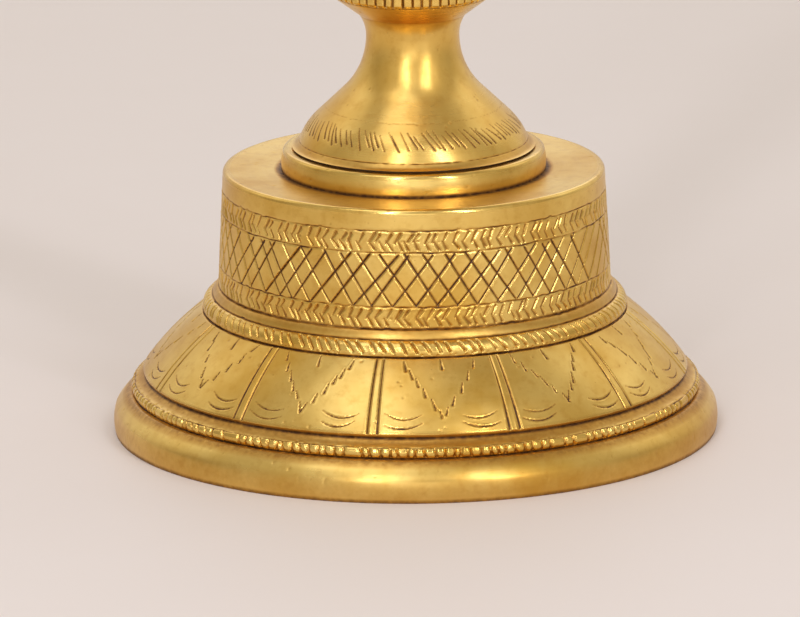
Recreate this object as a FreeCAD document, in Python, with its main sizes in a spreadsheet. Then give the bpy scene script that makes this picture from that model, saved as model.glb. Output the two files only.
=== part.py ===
"""Standing brass oil lamp: a turned foot, a screwed stem in sections, a five-lipped oil bowl and a finial.

Millimetres, +Z up. The origin is the centre of the circle that the foot stands on. Every piece is turned about
the Z axis, apart from the nut and the lips of the bowl. Threads are plain cylinders at the thread's outside
radius, with running clearance where a piece unscrews and none where a stud is fixed.
"""
import FreeCAD, Part
import math
import os

import Sketcher

DIMENSIONS = {
    # foot: rim, shelf, skirt and drum
    "base_radius": 75.0,
    "base_wall": 3.2,
    "rim_foot_inset": 0.3,
    "rim_top_inset": 0.4,
    "rim_height": 5.7,
    "rim_bulge": 12.0,
    "shelf_radius": 71.1,
    "shelf_height": 9.7,
    "shelf_bulge": 14.0,
    "bead_radius": 71.4,
    "bead_top": 12.6,
    "bead_round": 1.6,
    "bead_step": 0.2,
    "cove_radius": 67.1,
    "cove_top": 14.3,
    "cove_round": 4.0,
    "skirt_foot_radius": 67.6,
    "skirt_foot": 15.3,
    "skirt_top_radius": 52.9,
    "skirt_top": 30.3,
    "skirt_bulge": 70.0,
    "rope_foot_radius": 52.4,
    "rope_top_radius": 50.1,
    "rope_top": 34.3,
    "rope_round": 2.9,
    "plinth_top": 36.6,
    "plinth_round": 3.0,
    "drum_foot_radius": 48.6,
    "drum_top_radius": 47.2,
    "drum_top": 66.0,
    "drum_edge": 0.7,
    "dish_depth": 0.5,
    "groove_width": 0.7,
    "groove_depth": 0.4,
    "groove_low": 42.0,
    "groove_middle": 55.4,
    "groove_high": 60.8,
    # threads that join the sections
    "thread_radius": 5.0,
    "thread_clearance": 0.05,
    "thread_depth": 14.0,
    "stud_chamfer": 0.8,
    "stud_gap": 1.0,
    "hole_radius": 5.6,
    "nut_flats": 19.0,
    "nut_height": 16.5,
    "washer_thickness": 0.5,
    # collar under the bell of the stem
    "collar_radius": 32.8,
    "collar_foot_inset": 0.2,
    "collar_top_inset": 0.4,
    "collar_height": 5.6,
    "collar_round": 1.2,
    "collar_bulge": 12.0,
    # lower stem: bell, neck and knurled ring
    "bell_radius": 30.1,
    "bell_lip": 1.4,
    "bell_wall_radius": 28.3,
    "bell_shoulder_radius": 24.2,
    "bell_shoulder": 7.6,
    "bell_round": 17.4,
    "bell_waist_radius": 17.6,
    "bell_waist": 13.9,
    "bell_hollow": 12.0,
    "neck_radius": 11.5,
    "neck_height": 27.8,
    "neck_round": 18.7,
    "neck_top_radius": 13.2,
    "neck_top": 33.1,
    "neck_top_round": 9.6,
    "knurl_radius": 20.9,
    "knurl_foot": 38.4,
    "knurl_top": 43.2,
    "knurl_edge": 0.6,
    "lower_stem_height": 48.4,
    "seat_radius": 14.2,
    # knop on the lower stem
    "knop_radius": 22.5,
    "knop_height": 42.0,
    # column
    "column_height": 112.0,
    "column_foot_radius": 15.5,
    "column_low_radius": 11.2,
    "column_high_radius": 8.6,
    "column_ring_radius": 13.6,
    # upper knop and the socket that carries the bowl
    "upper_knop_radius": 18.5,
    "upper_knop_height": 34.0,
    "socket_height": 27.0,
    "socket_radius": 26.0,
    "socket_neck_radius": 9.5,
    "socket_foot": 3.0,
    "socket_edge": 1.0,
    # oil bowl and its lips
    "bowl_radius": 60.0,
    "bowl_height": 27.0,
    "bowl_seat_radius": 24.0,
    "bowl_shoulder": 13.0,
    "bowl_wall": 2.6,
    "bowl_floor": 4.0,
    "bowl_curve": 42.0,
    "lip_reach": 74.0,
    "lip_half_width": 20.0,
    "lip_foot_half_width": 10.0,
    "lip_root": 50.0,
    "lip_height": 13.0,
    "lip_curve": 45.0,
    "lip_foot_curve": 18.0,
    "lip_tip": 4.0,
    "lip_count": 5,
    # finial
    "post_height": 52.0,
    "post_foot_radius": 13.0,
    "post_foot": 1.5,
    "post_flare": 4.0,
    "post_neck_radius": 6.8,
    "pot_radius": 15.0,
    "spire_height": 57.5,
    "bud_radius": 9.5,
}

SHEET = "dims"
PARTS_FOLDER = "parts"
FULL_TURN = 360.0
LIP_TURN = -90.0  # one lip points to the front, -Y

doc = FreeCAD.newDocument("standing_lamp")
sheet = doc.addObject("Spreadsheet::Sheet", SHEET)
for row, (alias, number) in enumerate(DIMENSIONS.items(), start=1):
    sheet.set(f"A{row}", alias)
    sheet.set(f"B{row}", str(number))
    sheet.setAlias(f"B{row}", alias)
doc.recompute()

pieces = []


def value(size):
    """The number that a size such as "0.5 * base_radius - base_wall" stands for."""
    total = 0.0
    for term in size.replace(" - ", " + -").split(" + "):
        product = 1.0
        for factor in term.split(" * "):
            sign = -1.0 if factor.startswith("-") else 1.0
            word = factor.lstrip("-")
            product *= sign * (DIMENSIONS[word] if word in DIMENSIONS else float(word))
        total += product
    return total


def expression(size):
    """The same size as a document expression that reads the sheet's aliases."""
    words = size.replace("*", " * ").split()
    return " ".join(f"{SHEET}.{word}" if word in DIMENSIONS else word for word in words)


def origin_feature(body, role):
    return next(feature for feature in body.Origin.OriginFeatures if feature.Role == role)


def new_body(label):
    body = doc.addObject("PartDesign::Body", label)
    body.Label = label
    return body


def new_sketch(body, name, role="XZ_Plane"):
    sketch = body.newObject("Sketcher::SketchObject", name)
    sketch.AttachmentSupport = (origin_feature(body, role), [""])
    sketch.MapMode = "FlatFace"
    return sketch


def bind(sketch, kind, *ends, size):
    """Adds one dimension to a sketch and drives it from the sheet."""
    number = sketch.addConstraint(Sketcher.Constraint(kind, *ends, value(size)))
    sketch.setExpression(f"Constraints[{number}]", expression(size))


def arc_between(start, end, radius, side):
    """The short arc of a radius between two corners, bulging left (side 1) or right (side -1) of the way."""
    chord = end.sub(start)
    half = 0.5 * chord.Length
    left = FreeCAD.Vector(-chord.y, chord.x, 0).normalize()
    reach = math.sqrt(radius * radius - half * half)
    centre = (start + end) * 0.5 - left * (side * reach)
    angles = [math.atan2(corner.y - centre.y, corner.x - centre.x) for corner in (start, end)]
    if side > 0:
        angles.reverse()
    if angles[1] < angles[0]:
        angles[1] += 2.0 * math.pi
    return Part.ArcOfCircle(Part.Circle(centre, FreeCAD.Vector(0, 0, 1), radius), *angles)


def draw_outline(sketch, corners):
    """Draws a closed outline. A corner is (across, up) and may add (round radius, side) for the edge after it."""
    points = [FreeCAD.Vector(value(corner[0]), value(corner[1]), 0) for corner in corners]
    ends = []
    for index, corner in enumerate(corners):
        start = points[index]
        end = points[(index + 1) % len(points)]
        if len(corner) == 2:
            edge = sketch.addGeometry(Part.LineSegment(start, end))
        else:
            edge = sketch.addGeometry(arc_between(start, end, value(corner[2]), corner[3]))
        forward = sketch.getPoint(edge, 1).distanceToPoint(start) < 1e-6
        ends.append((edge, 1, 2) if forward else (edge, 2, 1))
    for index, (edge, first, last) in enumerate(ends):
        following = ends[(index + 1) % len(ends)]
        sketch.addConstraint(Sketcher.Constraint("Coincident", edge, last, following[0], following[1]))
    for (edge, first, last), corner in zip(ends, corners):
        for axis, kind, size in ((-2, "DistanceX", corner[0]), (-1, "DistanceY", corner[1])):
            if value(size) == 0.0:
                sketch.addConstraint(Sketcher.Constraint("PointOnObject", edge, first, axis))
            else:
                bind(sketch, kind, -1, 1, edge, first, size=size)
        if len(corner) == 4:
            bind(sketch, "Radius", edge, size=corner[2])


def raise_to(piece, height, turn=0.0):
    """Stands a piece on its seat above the foot's circle, turned about the Z axis by some degrees."""
    rotation = FreeCAD.Rotation(FreeCAD.Vector(0, 0, 1), turn)
    piece.Placement = FreeCAD.Placement(FreeCAD.Vector(0, 0, value(height)), rotation)
    piece.setExpression(".Placement.Base.z", expression(height))
    pieces.append(piece)


def turned(label, corners, height="0"):
    """A piece made on the lathe: its outline turned about the Z axis."""
    body = new_body(label)
    sketch = new_sketch(body, f"{label}_outline")
    draw_outline(sketch, corners)
    doc.recompute()
    revolution = body.newObject("PartDesign::Revolution", f"{label}_turned")
    revolution.Profile = sketch
    revolution.ReferenceAxis = (sketch, ["V_Axis"])
    revolution.Angle = FULL_TURN
    raise_to(body, height)
    return body


def washer(label, inner, outer, height):
    corners = [
        (inner, "0"),
        (outer, "0"),
        (outer, "washer_thickness"),
        (inner, "washer_thickness"),
    ]
    return turned(label, corners, height)


def stud(label, length, height):
    """A threaded stud as a plain rod with chamfered ends."""
    radius = "thread_radius - thread_clearance"
    corners = [
        ("0", "0"),
        (f"{radius} - stud_chamfer", "0"),
        (radius, "stud_chamfer"),
        (radius, f"{length} - stud_chamfer"),
        (f"{radius} - stud_chamfer", length),
        ("0", length),
    ]
    return turned(label, corners, height)


# Heights of the seats, from the foot upwards.
COLLAR_SEAT = "drum_top - dish_depth"
STEM_WASHER_SEAT = f"{COLLAR_SEAT} + collar_height"
STEM_SEAT = f"{STEM_WASHER_SEAT} + washer_thickness"
KNOP_SEAT = f"{STEM_SEAT} + lower_stem_height"
COLUMN_WASHER_SEAT = f"{KNOP_SEAT} + knop_height"
COLUMN_SEAT = f"{COLUMN_WASHER_SEAT} + washer_thickness"
UPPER_KNOP_SEAT = f"{COLUMN_SEAT} + column_height"
SOCKET_SEAT = f"{UPPER_KNOP_SEAT} + upper_knop_height"
BOWL_WASHER_SEAT = f"{SOCKET_SEAT} + socket_height"
BOWL_SEAT = f"{BOWL_WASHER_SEAT} + washer_thickness"
FINIAL_WASHER_SEAT = f"{BOWL_SEAT} + bowl_floor"
FINIAL_SEAT = f"{FINIAL_WASHER_SEAT} + washer_thickness"
SPIRE_SEAT = f"{FINIAL_SEAT} + post_height"


def ring_groove(height):
    """Three corners of a V-shaped ring groove in the drum's wall, whose radius shrinks evenly with height."""
    rise = value("drum_top - plinth_top")
    taper = value("drum_foot_radius - drum_top_radius") / rise
    corners = []
    for step, depth in ((-0.5, "0"), (0.0, "groove_depth"), (0.5, "0")):
        level = f"{height} + {step} * groove_width"
        inset = f"{taper:.5f}"
        radius = f"drum_foot_radius - {inset} * {height} + {inset} * plinth_top - {depth}"
        corners.append((radius, level))
    return corners


def base_casting():
    """Hollow foot: a standing rim, a shelf, a bead, a sloping skirt, a rope bead and a drum with a flat top."""
    outline = [
        ("base_radius - base_wall", "0"),
        ("base_radius - rim_foot_inset", "0", "rim_bulge", -1),
        ("base_radius - rim_top_inset", "rim_height", "shelf_bulge", -1),
        ("shelf_radius", "shelf_height"),
        ("bead_radius - bead_round", "shelf_height + bead_step", "bead_round", -1),
        ("bead_radius - bead_round", "bead_top", "cove_round", 1),
        ("cove_radius", "cove_top"),
        ("skirt_foot_radius", "skirt_foot", "skirt_bulge", -1),
        ("skirt_top_radius", "skirt_top"),
        ("rope_foot_radius", "skirt_top + bead_step", "rope_round", -1),
        ("rope_top_radius", "rope_top", "plinth_round", -1),
        ("drum_foot_radius", "plinth_top"),
        *ring_groove("groove_low"),
        *ring_groove("groove_middle"),
        *ring_groove("groove_high"),
        ("drum_top_radius", "drum_top - drum_edge", "drum_edge", -1),
        ("drum_top_radius - drum_edge", "drum_top"),
        ("collar_radius + collar_top_inset", "drum_top - dish_depth"),
        ("hole_radius", "drum_top - dish_depth"),
        ("hole_radius", "drum_top - dish_depth - base_wall"),
        ("drum_top_radius - base_wall", "drum_top - dish_depth - base_wall"),
        ("drum_foot_radius - base_wall", "plinth_top"),
        ("skirt_top_radius - base_wall", "skirt_top - 0.3 * base_wall"),
        ("skirt_foot_radius - base_wall", "skirt_foot - 0.3 * base_wall"),
        ("shelf_radius - base_wall", "shelf_height - 0.6 * base_wall"),
        ("base_radius - base_wall", "rim_height - 0.6 * base_wall"),
    ]
    return turned("base_casting", outline)


def base_nut():
    """Hexagon nut fixed under the drum's top. The stem's stud screws into it."""
    prism = doc.addObject("Part::Prism", "nut_hexagon")
    prism.Polygon = 6
    prism.setExpression("Circumradius", f"{SHEET}.nut_flats / sqrt(3)")
    prism.setExpression("Height", f"{SHEET}.nut_height")
    bore = doc.addObject("Part::Cylinder", "nut_bore")
    bore.setExpression("Radius", f"{SHEET}.thread_radius")
    bore.setExpression("Height", f"{SHEET}.nut_height")
    nut = doc.addObject("Part::Cut", "base_nut")
    nut.Label = "base_nut"
    nut.Base = prism
    nut.Tool = bore
    raise_to(nut, f"{COLLAR_SEAT} - base_wall - nut_height")
    return nut


def stem_collar():
    """Rounded ring between the drum and the bell."""
    outline = [
        ("hole_radius", "0"),
        ("collar_radius - collar_foot_inset", "0", "collar_bulge", -1),
        ("collar_radius - collar_top_inset", "collar_height - collar_round", "collar_round", -1),
        ("collar_radius - collar_top_inset - collar_round", "collar_height"),
        ("hole_radius", "collar_height"),
    ]
    return turned("stem_collar", outline, COLLAR_SEAT)


def lower_stem():
    """Hollow bell that narrows to a neck and opens again under a knurled ring."""
    outline = [
        ("bell_radius - base_wall", "0"),
        ("bell_radius", "0", "bell_lip + 1.2", 1),
        ("bell_wall_radius", "bell_lip", "bell_round", -1),
        ("bell_shoulder_radius", "bell_shoulder"),
        ("bell_waist_radius", "bell_waist", "neck_round", 1),
        ("neck_radius", "neck_height", "neck_top_round", 1),
        ("neck_top_radius", "neck_top"),
        ("knurl_radius - knurl_edge", "knurl_foot"),
        ("knurl_radius", "knurl_foot + knurl_edge"),
        ("knurl_radius", "knurl_top - knurl_edge"),
        ("knurl_radius - knurl_edge", "knurl_top"),
        ("seat_radius + 2.6", "knurl_top + 1.6"),
        ("seat_radius", "knurl_top + 2.2"),
        ("seat_radius", "lower_stem_height"),
        ("thread_radius - thread_clearance", "lower_stem_height"),
        ("thread_radius - thread_clearance", "lower_stem_height - thread_depth"),
        ("0", "lower_stem_height - thread_depth"),
        ("0", "bell_hollow + thread_depth"),
        ("thread_radius - thread_clearance", "bell_hollow + thread_depth"),
        ("thread_radius - thread_clearance", "bell_hollow"),
        ("bell_waist_radius - 2.6 * base_wall", "bell_hollow"),
        ("bell_shoulder_radius - 1.3 * base_wall", "bell_shoulder - 0.9 * base_wall"),
        ("bell_radius - base_wall - bell_lip", "bell_lip"),
    ]
    return turned("lower_stem", outline, STEM_SEAT)


def knop():
    """Rounded knop with a turned foot and a double ring on top."""
    outline = [
        ("0", "thread_depth"),
        ("thread_radius - thread_clearance", "thread_depth"),
        ("thread_radius - thread_clearance", "0"),
        ("seat_radius - 0.8", "0"),
        ("seat_radius - 0.8", "0.04 * knop_height"),
        ("0.5 * knop_radius", "0.10 * knop_height"),
        ("0.5 * knop_radius", "0.14 * knop_height", "0.75 * knop_radius", -1),
        ("knop_radius", "0.42 * knop_height", "0.9 * knop_radius", -1),
        ("0.6 * knop_radius", "0.76 * knop_height", "0.5 * knop_radius", 1),
        ("0.5 * knop_radius", "0.86 * knop_height"),
        ("0.66 * knop_radius", "0.88 * knop_height", "0.08 * knop_height", -1),
        ("0.66 * knop_radius", "knop_height"),
        ("thread_radius", "knop_height"),
        ("thread_radius", "knop_height - thread_depth"),
        ("0", "knop_height - thread_depth"),
    ]
    return turned("knop", outline, KNOP_SEAT)


def column_shaft():
    """Slender tapered column with a turned foot, a ring at mid height and a ring at the top."""
    ring_low = "0.46 * column_height"
    ring_high = "0.54 * column_height"
    cap_low = "0.92 * column_height"
    outline = [
        ("0", "thread_depth"),
        ("thread_radius - thread_clearance", "thread_depth"),
        ("thread_radius - thread_clearance", "0"),
        ("column_foot_radius - 0.6", "0", "0.03 * column_height", -1),
        ("column_foot_radius - 0.6", "0.045 * column_height"),
        ("column_low_radius + 1.4", "0.06 * column_height", "0.05 * column_height", 1),
        ("column_low_radius", "0.10 * column_height"),
        ("column_high_radius + 0.8", ring_low, "0.03 * column_height", 1),
        ("column_ring_radius - 1.2", "0.475 * column_height", "0.04 * column_height", -1),
        ("column_ring_radius - 1.2", "0.525 * column_height", "0.03 * column_height", 1),
        ("column_high_radius + 0.8", ring_high),
        ("column_high_radius", cap_low, "0.03 * column_height", 1),
        ("column_ring_radius - 0.4", "0.95 * column_height", "0.04 * column_height", -1),
        ("column_ring_radius - 0.4", "column_height"),
        ("thread_radius - thread_clearance", "column_height"),
        ("thread_radius - thread_clearance", "column_height - thread_depth"),
        ("0", "column_height - thread_depth"),
    ]
    return turned("column_shaft", outline, COLUMN_SEAT)


def upper_knop():
    """Smaller rounded knop between the column and the bowl's socket."""
    outline = [
        ("0", "thread_depth"),
        ("thread_radius - thread_clearance", "thread_depth"),
        ("thread_radius - thread_clearance", "0"),
        ("0.62 * upper_knop_radius", "0"),
        ("0.62 * upper_knop_radius", "0.06 * upper_knop_height", "0.7 * upper_knop_radius", -1),
        ("upper_knop_radius", "0.48 * upper_knop_height"),
        ("upper_knop_radius", "0.54 * upper_knop_height", "0.7 * upper_knop_radius", -1),
        ("0.6 * upper_knop_radius", "0.92 * upper_knop_height"),
        ("0.6 * upper_knop_radius", "upper_knop_height"),
        ("thread_radius - thread_clearance", "upper_knop_height"),
        ("thread_radius - thread_clearance", "upper_knop_height - thread_depth"),
        ("0", "upper_knop_height - thread_depth"),
    ]
    return turned("upper_knop", outline, UPPER_KNOP_SEAT)


def bowl_socket():
    """Trumpet that opens upwards to the plate under the bowl."""
    outline = [
        ("0", "0.5 * thread_depth"),
        ("thread_radius - thread_clearance", "0.5 * thread_depth"),
        ("thread_radius - thread_clearance", "0"),
        ("socket_neck_radius + socket_foot", "0", "2 * socket_edge", -1),
        ("socket_neck_radius + socket_foot", "socket_foot"),
        ("socket_neck_radius", "1.5 * socket_foot", "0.9 * socket_radius", 1),
        ("socket_radius - 2 * socket_edge", "socket_height - 5 * socket_edge"),
        ("socket_radius", "socket_height - 4 * socket_edge"),
        ("socket_radius", "socket_height - socket_edge"),
        ("socket_radius - socket_edge", "socket_height"),
        ("thread_radius", "socket_height"),
        ("thread_radius", "socket_height - thread_depth"),
        ("0", "socket_height - thread_depth"),
    ]
    return turned("bowl_socket", outline, SOCKET_SEAT)


def lip_outline(root, reach, half_width, tip, curve):
    """Plan of one lip: two hollow-curved sides that run out to a blunt tip."""
    return [
        (root, f"-1 * {half_width}", curve, 1),
        (reach, f"-1 * {tip}"),
        (reach, tip, curve, 1),
        (root, half_width),
    ]


def oil_bowl():
    """Shallow bowl with pulled lips for the wicks, bored at the centre for its stud."""
    body = new_body("oil_bowl")
    wall_bottom = "bowl_height - lip_height"

    def spun(feature_type, name, corners):
        profile = new_sketch(body, f"{name}_outline")
        draw_outline(profile, corners)
        doc.recompute()
        feature = body.newObject(feature_type, name)
        feature.Profile = profile
        feature.ReferenceAxis = (profile, ["V_Axis"])
        feature.Angle = FULL_TURN
        body.Tip = feature
        doc.recompute()

    def lofted_around(feature_type, name, upper, lower, lower_height):
        sections = []
        for ending, corners, height in (("rim", upper, "bowl_height"), ("foot", lower, lower_height)):
            plan = new_sketch(body, f"{name}_{ending}", "XY_Plane")
            draw_outline(plan, corners)
            plan.AttachmentOffset = FreeCAD.Placement(FreeCAD.Vector(0, 0, value(height)), FreeCAD.Rotation())
            plan.setExpression("AttachmentOffset.Base.z", expression(height))
            sections.append(plan)
        doc.recompute()
        loft = body.newObject(feature_type, name)
        loft.Profile = sections[0]
        loft.Sections = [sections[1]]
        loft.Ruled = True
        doc.recompute()
        pattern = body.newObject("PartDesign::PolarPattern", f"{name}_pattern")
        pattern.Originals = [loft]
        pattern.Axis = (origin_feature(body, "Z_Axis"), [""])
        pattern.Angle = FULL_TURN
        pattern.setExpression("Occurrences", f"{SHEET}.lip_count")
        body.Tip = pattern
        doc.recompute()

    spun(
        "PartDesign::Revolution",
        "bowl_solid",
        [
            ("thread_radius - thread_clearance", "0"),
            ("bowl_seat_radius", "0"),
            ("bowl_seat_radius + 1.0", "1.0", "bowl_curve", -1),
            ("bowl_radius", "bowl_shoulder"),
            ("bowl_radius", "bowl_height"),
            ("thread_radius - thread_clearance", "bowl_height"),
        ],
    )
    lofted_around(
        "PartDesign::AdditiveLoft",
        "lip",
        lip_outline("lip_root", "lip_reach", "lip_half_width", "lip_tip", "lip_curve"),
        lip_outline("lip_root - 2.0", "bowl_radius - 1.0", "lip_foot_half_width", "lip_tip", "lip_foot_curve"),
        wall_bottom,
    )
    spun(
        "PartDesign::Groove",
        "bowl_hollow",
        [
            ("0", "bowl_floor"),
            ("bowl_seat_radius", "bowl_floor", "bowl_curve", -1),
            ("bowl_radius - bowl_wall", "bowl_shoulder + 1.0"),
            ("bowl_radius - bowl_wall", "bowl_height + 1.0"),
            ("0", "bowl_height + 1.0"),
        ],
    )
    lofted_around(
        "PartDesign::SubtractiveLoft",
        "channel",
        lip_outline(
            "lip_root - 2.0",
            "lip_reach - 0.9 * bowl_wall",
            "lip_half_width - 0.7 * bowl_wall",
            "0.4 * lip_tip",
            "lip_curve",
        ),
        lip_outline(
            "lip_root - 4.0",
            "bowl_radius - bowl_wall",
            "lip_foot_half_width - 0.9 * bowl_wall",
            "0.4 * lip_tip",
            "lip_foot_curve",
        ),
        f"{wall_bottom} + bowl_wall",
    )
    raise_to(body, BOWL_SEAT, LIP_TURN)
    return body


def finial_post():
    """Post that rises from the bowl's floor to a small round pot."""
    outline = [
        ("0", "thread_depth + stud_gap"),
        ("thread_radius", "thread_depth + stud_gap"),
        ("thread_radius", "0"),
        ("post_foot_radius", "0"),
        ("post_foot_radius", "post_foot"),
        ("post_foot_radius - 0.5 * post_flare", "post_flare", "0.3 * post_height", 1),
        ("post_neck_radius + 0.6", "0.36 * post_height"),
        ("post_neck_radius + 3.0", "0.40 * post_height", "0.04 * post_height", -1),
        ("post_neck_radius + 3.0", "0.46 * post_height"),
        ("post_neck_radius", "0.49 * post_height"),
        ("post_neck_radius", "0.54 * post_height", "0.85 * pot_radius", -1),
        ("pot_radius", "0.74 * post_height", "0.85 * pot_radius", -1),
        ("0.5 * pot_radius", "0.94 * post_height", "0.2 * pot_radius", 1),
        ("0.62 * pot_radius", "post_height"),
        ("0.6 * thread_radius", "post_height"),
        ("0.6 * thread_radius", "post_height - 0.6 * thread_depth"),
        ("0", "post_height - 0.6 * thread_depth"),
    ]
    return turned("finial_post", outline, FINIAL_SEAT)


def finial_stud():
    """Thin stud fixed in both the post and the spire."""
    outline = [
        ("0", "0"),
        ("0.6 * thread_radius", "0"),
        ("0.6 * thread_radius", "1.2 * thread_depth"),
        ("0", "1.2 * thread_depth"),
    ]
    return turned("finial_stud", outline, f"{SPIRE_SEAT} - 0.6 * thread_depth")


def finial_spire():
    """Bud with a long point, on a spreading foot."""
    outline = [
        ("0", "0.6 * thread_depth"),
        ("0.6 * thread_radius", "0.6 * thread_depth"),
        ("0.6 * thread_radius", "0"),
        ("0.62 * pot_radius", "0"),
        ("0.62 * pot_radius", "0.03 * spire_height"),
        ("0.5 * bud_radius", "0.10 * spire_height"),
        ("0.5 * bud_radius", "0.14 * spire_height", "0.95 * bud_radius", -1),
        ("bud_radius", "0.30 * spire_height", "3.0 * bud_radius", -1),
        ("0.42 * bud_radius", "0.66 * spire_height", "3.0 * bud_radius", 1),
        ("0.08 * bud_radius", "0.985 * spire_height"),
        ("0", "spire_height"),
    ]
    return turned("finial_spire", outline, SPIRE_SEAT)


base_casting()
base_nut()
stem_collar()
washer("stem_washer", "0.5 * bell_radius", "bell_radius - 0.6", STEM_WASHER_SEAT)
lower_stem()
stud("stem_stud", "nut_height + base_wall + collar_height + washer_thickness + bell_hollow + thread_depth",
     f"{COLLAR_SEAT} - base_wall - nut_height")
knop()
stud("knop_stud", "2 * thread_depth", f"{KNOP_SEAT} - thread_depth")
washer("column_washer", "hole_radius", "0.62 * knop_radius", COLUMN_WASHER_SEAT)
column_shaft()
stud("column_stud", "2 * thread_depth + washer_thickness - stud_gap",
     f"{COLUMN_WASHER_SEAT} - thread_depth + stud_gap")
upper_knop()
stud("upper_knop_stud", "2 * thread_depth", f"{UPPER_KNOP_SEAT} - thread_depth")
bowl_socket()
stud("socket_stud", "1.5 * thread_depth", f"{SOCKET_SEAT} - thread_depth")
washer("bowl_washer", "hole_radius", "bowl_seat_radius - 1.0", BOWL_WASHER_SEAT)
oil_bowl()
stud("bowl_stud", "2 * thread_depth + 2 * washer_thickness + bowl_floor - stud_gap",
     f"{BOWL_WASHER_SEAT} - thread_depth + stud_gap")
washer("finial_washer", "hole_radius", "post_foot_radius - 0.5", FINIAL_WASHER_SEAT)
finial_post()
finial_stud()
finial_spire()

doc.recompute()

for item in doc.Objects:
    if "Invalid" in item.State or "Error" in item.State:
        raise RuntimeError(f"{item.Label} failed: {item.State}")
for piece in pieces:
    if piece.Shape.isNull() or not piece.Shape.isValid():
        raise RuntimeError(f"{piece.Label} has no valid shape")

os.makedirs(PARTS_FOLDER, exist_ok=True)
for piece in pieces:
    piece.Shape.exportStep(os.path.join(PARTS_FOLDER, f"{piece.Label}.step"))
    box = piece.Shape.BoundBox
    print(f"{piece.Label:18s} {piece.Shape.Volume:10.0f} mm3  z {box.ZMin:7.2f} to {box.ZMax:7.2f}")
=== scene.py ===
import math

import bpy
import numpy as np
from mathutils import Matrix, Vector


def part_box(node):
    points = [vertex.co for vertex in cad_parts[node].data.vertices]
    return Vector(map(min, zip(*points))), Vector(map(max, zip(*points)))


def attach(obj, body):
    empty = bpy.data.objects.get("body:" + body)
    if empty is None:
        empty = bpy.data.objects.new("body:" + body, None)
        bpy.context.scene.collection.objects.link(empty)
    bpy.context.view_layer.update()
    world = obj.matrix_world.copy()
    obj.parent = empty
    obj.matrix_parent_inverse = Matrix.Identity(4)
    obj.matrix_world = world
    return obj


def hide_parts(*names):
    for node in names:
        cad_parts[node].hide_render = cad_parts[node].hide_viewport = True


# Standing brass oil lamp: the worked brass around the turned CAD solids.
# Shapes are in millimetres and become metres when a mesh is made. Azimuths are degrees from the front (-Y)
# and grow towards +X. A level is the distance in millimetres along an outline, from its first corner.

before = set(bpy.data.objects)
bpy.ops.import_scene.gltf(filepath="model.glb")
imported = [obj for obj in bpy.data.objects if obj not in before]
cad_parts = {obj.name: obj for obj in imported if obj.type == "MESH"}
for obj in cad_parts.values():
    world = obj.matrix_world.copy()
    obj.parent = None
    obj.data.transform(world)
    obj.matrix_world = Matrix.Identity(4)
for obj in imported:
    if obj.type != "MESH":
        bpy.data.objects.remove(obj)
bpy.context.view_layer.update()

MM = 0.001
FULL_TURN = 360.0
SEED = 4207
THREAD_PITCH = 1.5
THREAD_DEPTH = 0.8
FINE_STEP = 0.05
ON_AXIS = 1e-6
INSIDE_GRIME = 0.45
# A cut this deep, or deeper, holds all the dirt it can.
FULL_DIRT_DEPTH = 0.12

# Outlines. A corner is (radius, height, bend, ring spacing, name). The bend is the radius of the arc that
# follows: positive where its centre lies to the right of the way, negative to the left, 0 if it is straight.
FOOT_OUTSIDE = [
    (74.7, 0.0, -12.0, 0.6, "rim_foot"),
    (74.6, 5.7, -14.0, 0.4, "rim_top"),
    (71.1, 9.7, 0.0, 0.22, "shelf_top"),
    (69.8, 9.9, -1.6, 0.16, "bead_foot"),
    (69.8, 12.6, 4.0, 0.26, "bead_top"),
    (67.1, 14.3, 0.0, 0.2, "cove_top"),
    (67.6, 15.3, -70.0, 0.23, "skirt_foot"),
    (52.9, 30.3, 0.0, 0.18, "skirt_top"),
    (52.4, 30.5, -2.9, 0.17, "rope_foot"),
    (50.1, 34.3, -3.0, 0.22, "rope_top"),
    (48.6, 36.6, 0.0, 0.2, "drum_foot"),
    (48.34, 42.0, 0.0, 0.2, "groove_low"),
    (47.68, 55.4, 0.0, 0.2, "groove_middle"),
    (47.42, 60.8, 0.0, 0.3, "groove_high"),
    (47.22, 64.9, -1.1, 0.12, "drum_edge"),
    (46.1, 66.0, 0.0, 0.8, "drum_top"),
    (33.2, 65.5, 0.0, 1.0, "collar_seat"),
]
FOOT_INSIDE = [
    (5.6, 65.5),
    (5.6, 62.3),
    (44.0, 62.3),
    (45.4, 36.6),
    (49.7, 29.34),
    (64.4, 14.34),
    (67.9, 7.78),
    (71.8, 3.78),
    (71.8, 0.0),
]
COLLAR_OUTSIDE = [
    (32.6, 0.0, -12.0, 0.25, "foot"),
    (32.4, 4.4, -1.2, 0.15, "shoulder"),
    (31.2, 5.6, 0.0, 0.5, "top"),
    (20.0, 5.6, 0.0, 1.0, "end"),
]
COLLAR_INSIDE = [(5.6, 5.6), (5.6, 0.0)]
STEM_OUTSIDE = [
    (30.1, 0.0, 2.6, 0.2, "foot"),
    (28.3, 1.4, -17.4, 0.22, "lip"),
    (24.2, 7.6, 0.0, 0.25, "shoulder"),
    (17.6, 13.9, 18.7, 0.3, "waist"),
    (11.5, 27.8, 9.6, 0.3, "neck"),
    (13.2, 33.1, 0.0, 0.25, "flare"),
    (20.3, 38.4, 0.0, 0.16, "knurl_foot"),
    (20.9, 39.0, 0.0, 0.2, "knurl_low"),
    (20.9, 42.6, 0.0, 0.16, "knurl_high"),
    (20.3, 43.2, 0.0, 0.4, "knurl_top"),
    (16.8, 44.8, 0.0, 0.3, "step"),
    (14.2, 45.4, 0.0, 0.4, "seat_foot"),
    (14.2, 48.4, 0.0, 0.5, "seat_top"),
]
# Radii of the holes for a fixed stud, a turning stud and the finial's thin stud, and how deep they go.
FIXED_HOLE = 4.95
FREE_HOLE = 5.0
THIN_HOLE = 3.0
STUD_REACH = 14.0
THIN_REACH = 8.4


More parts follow.
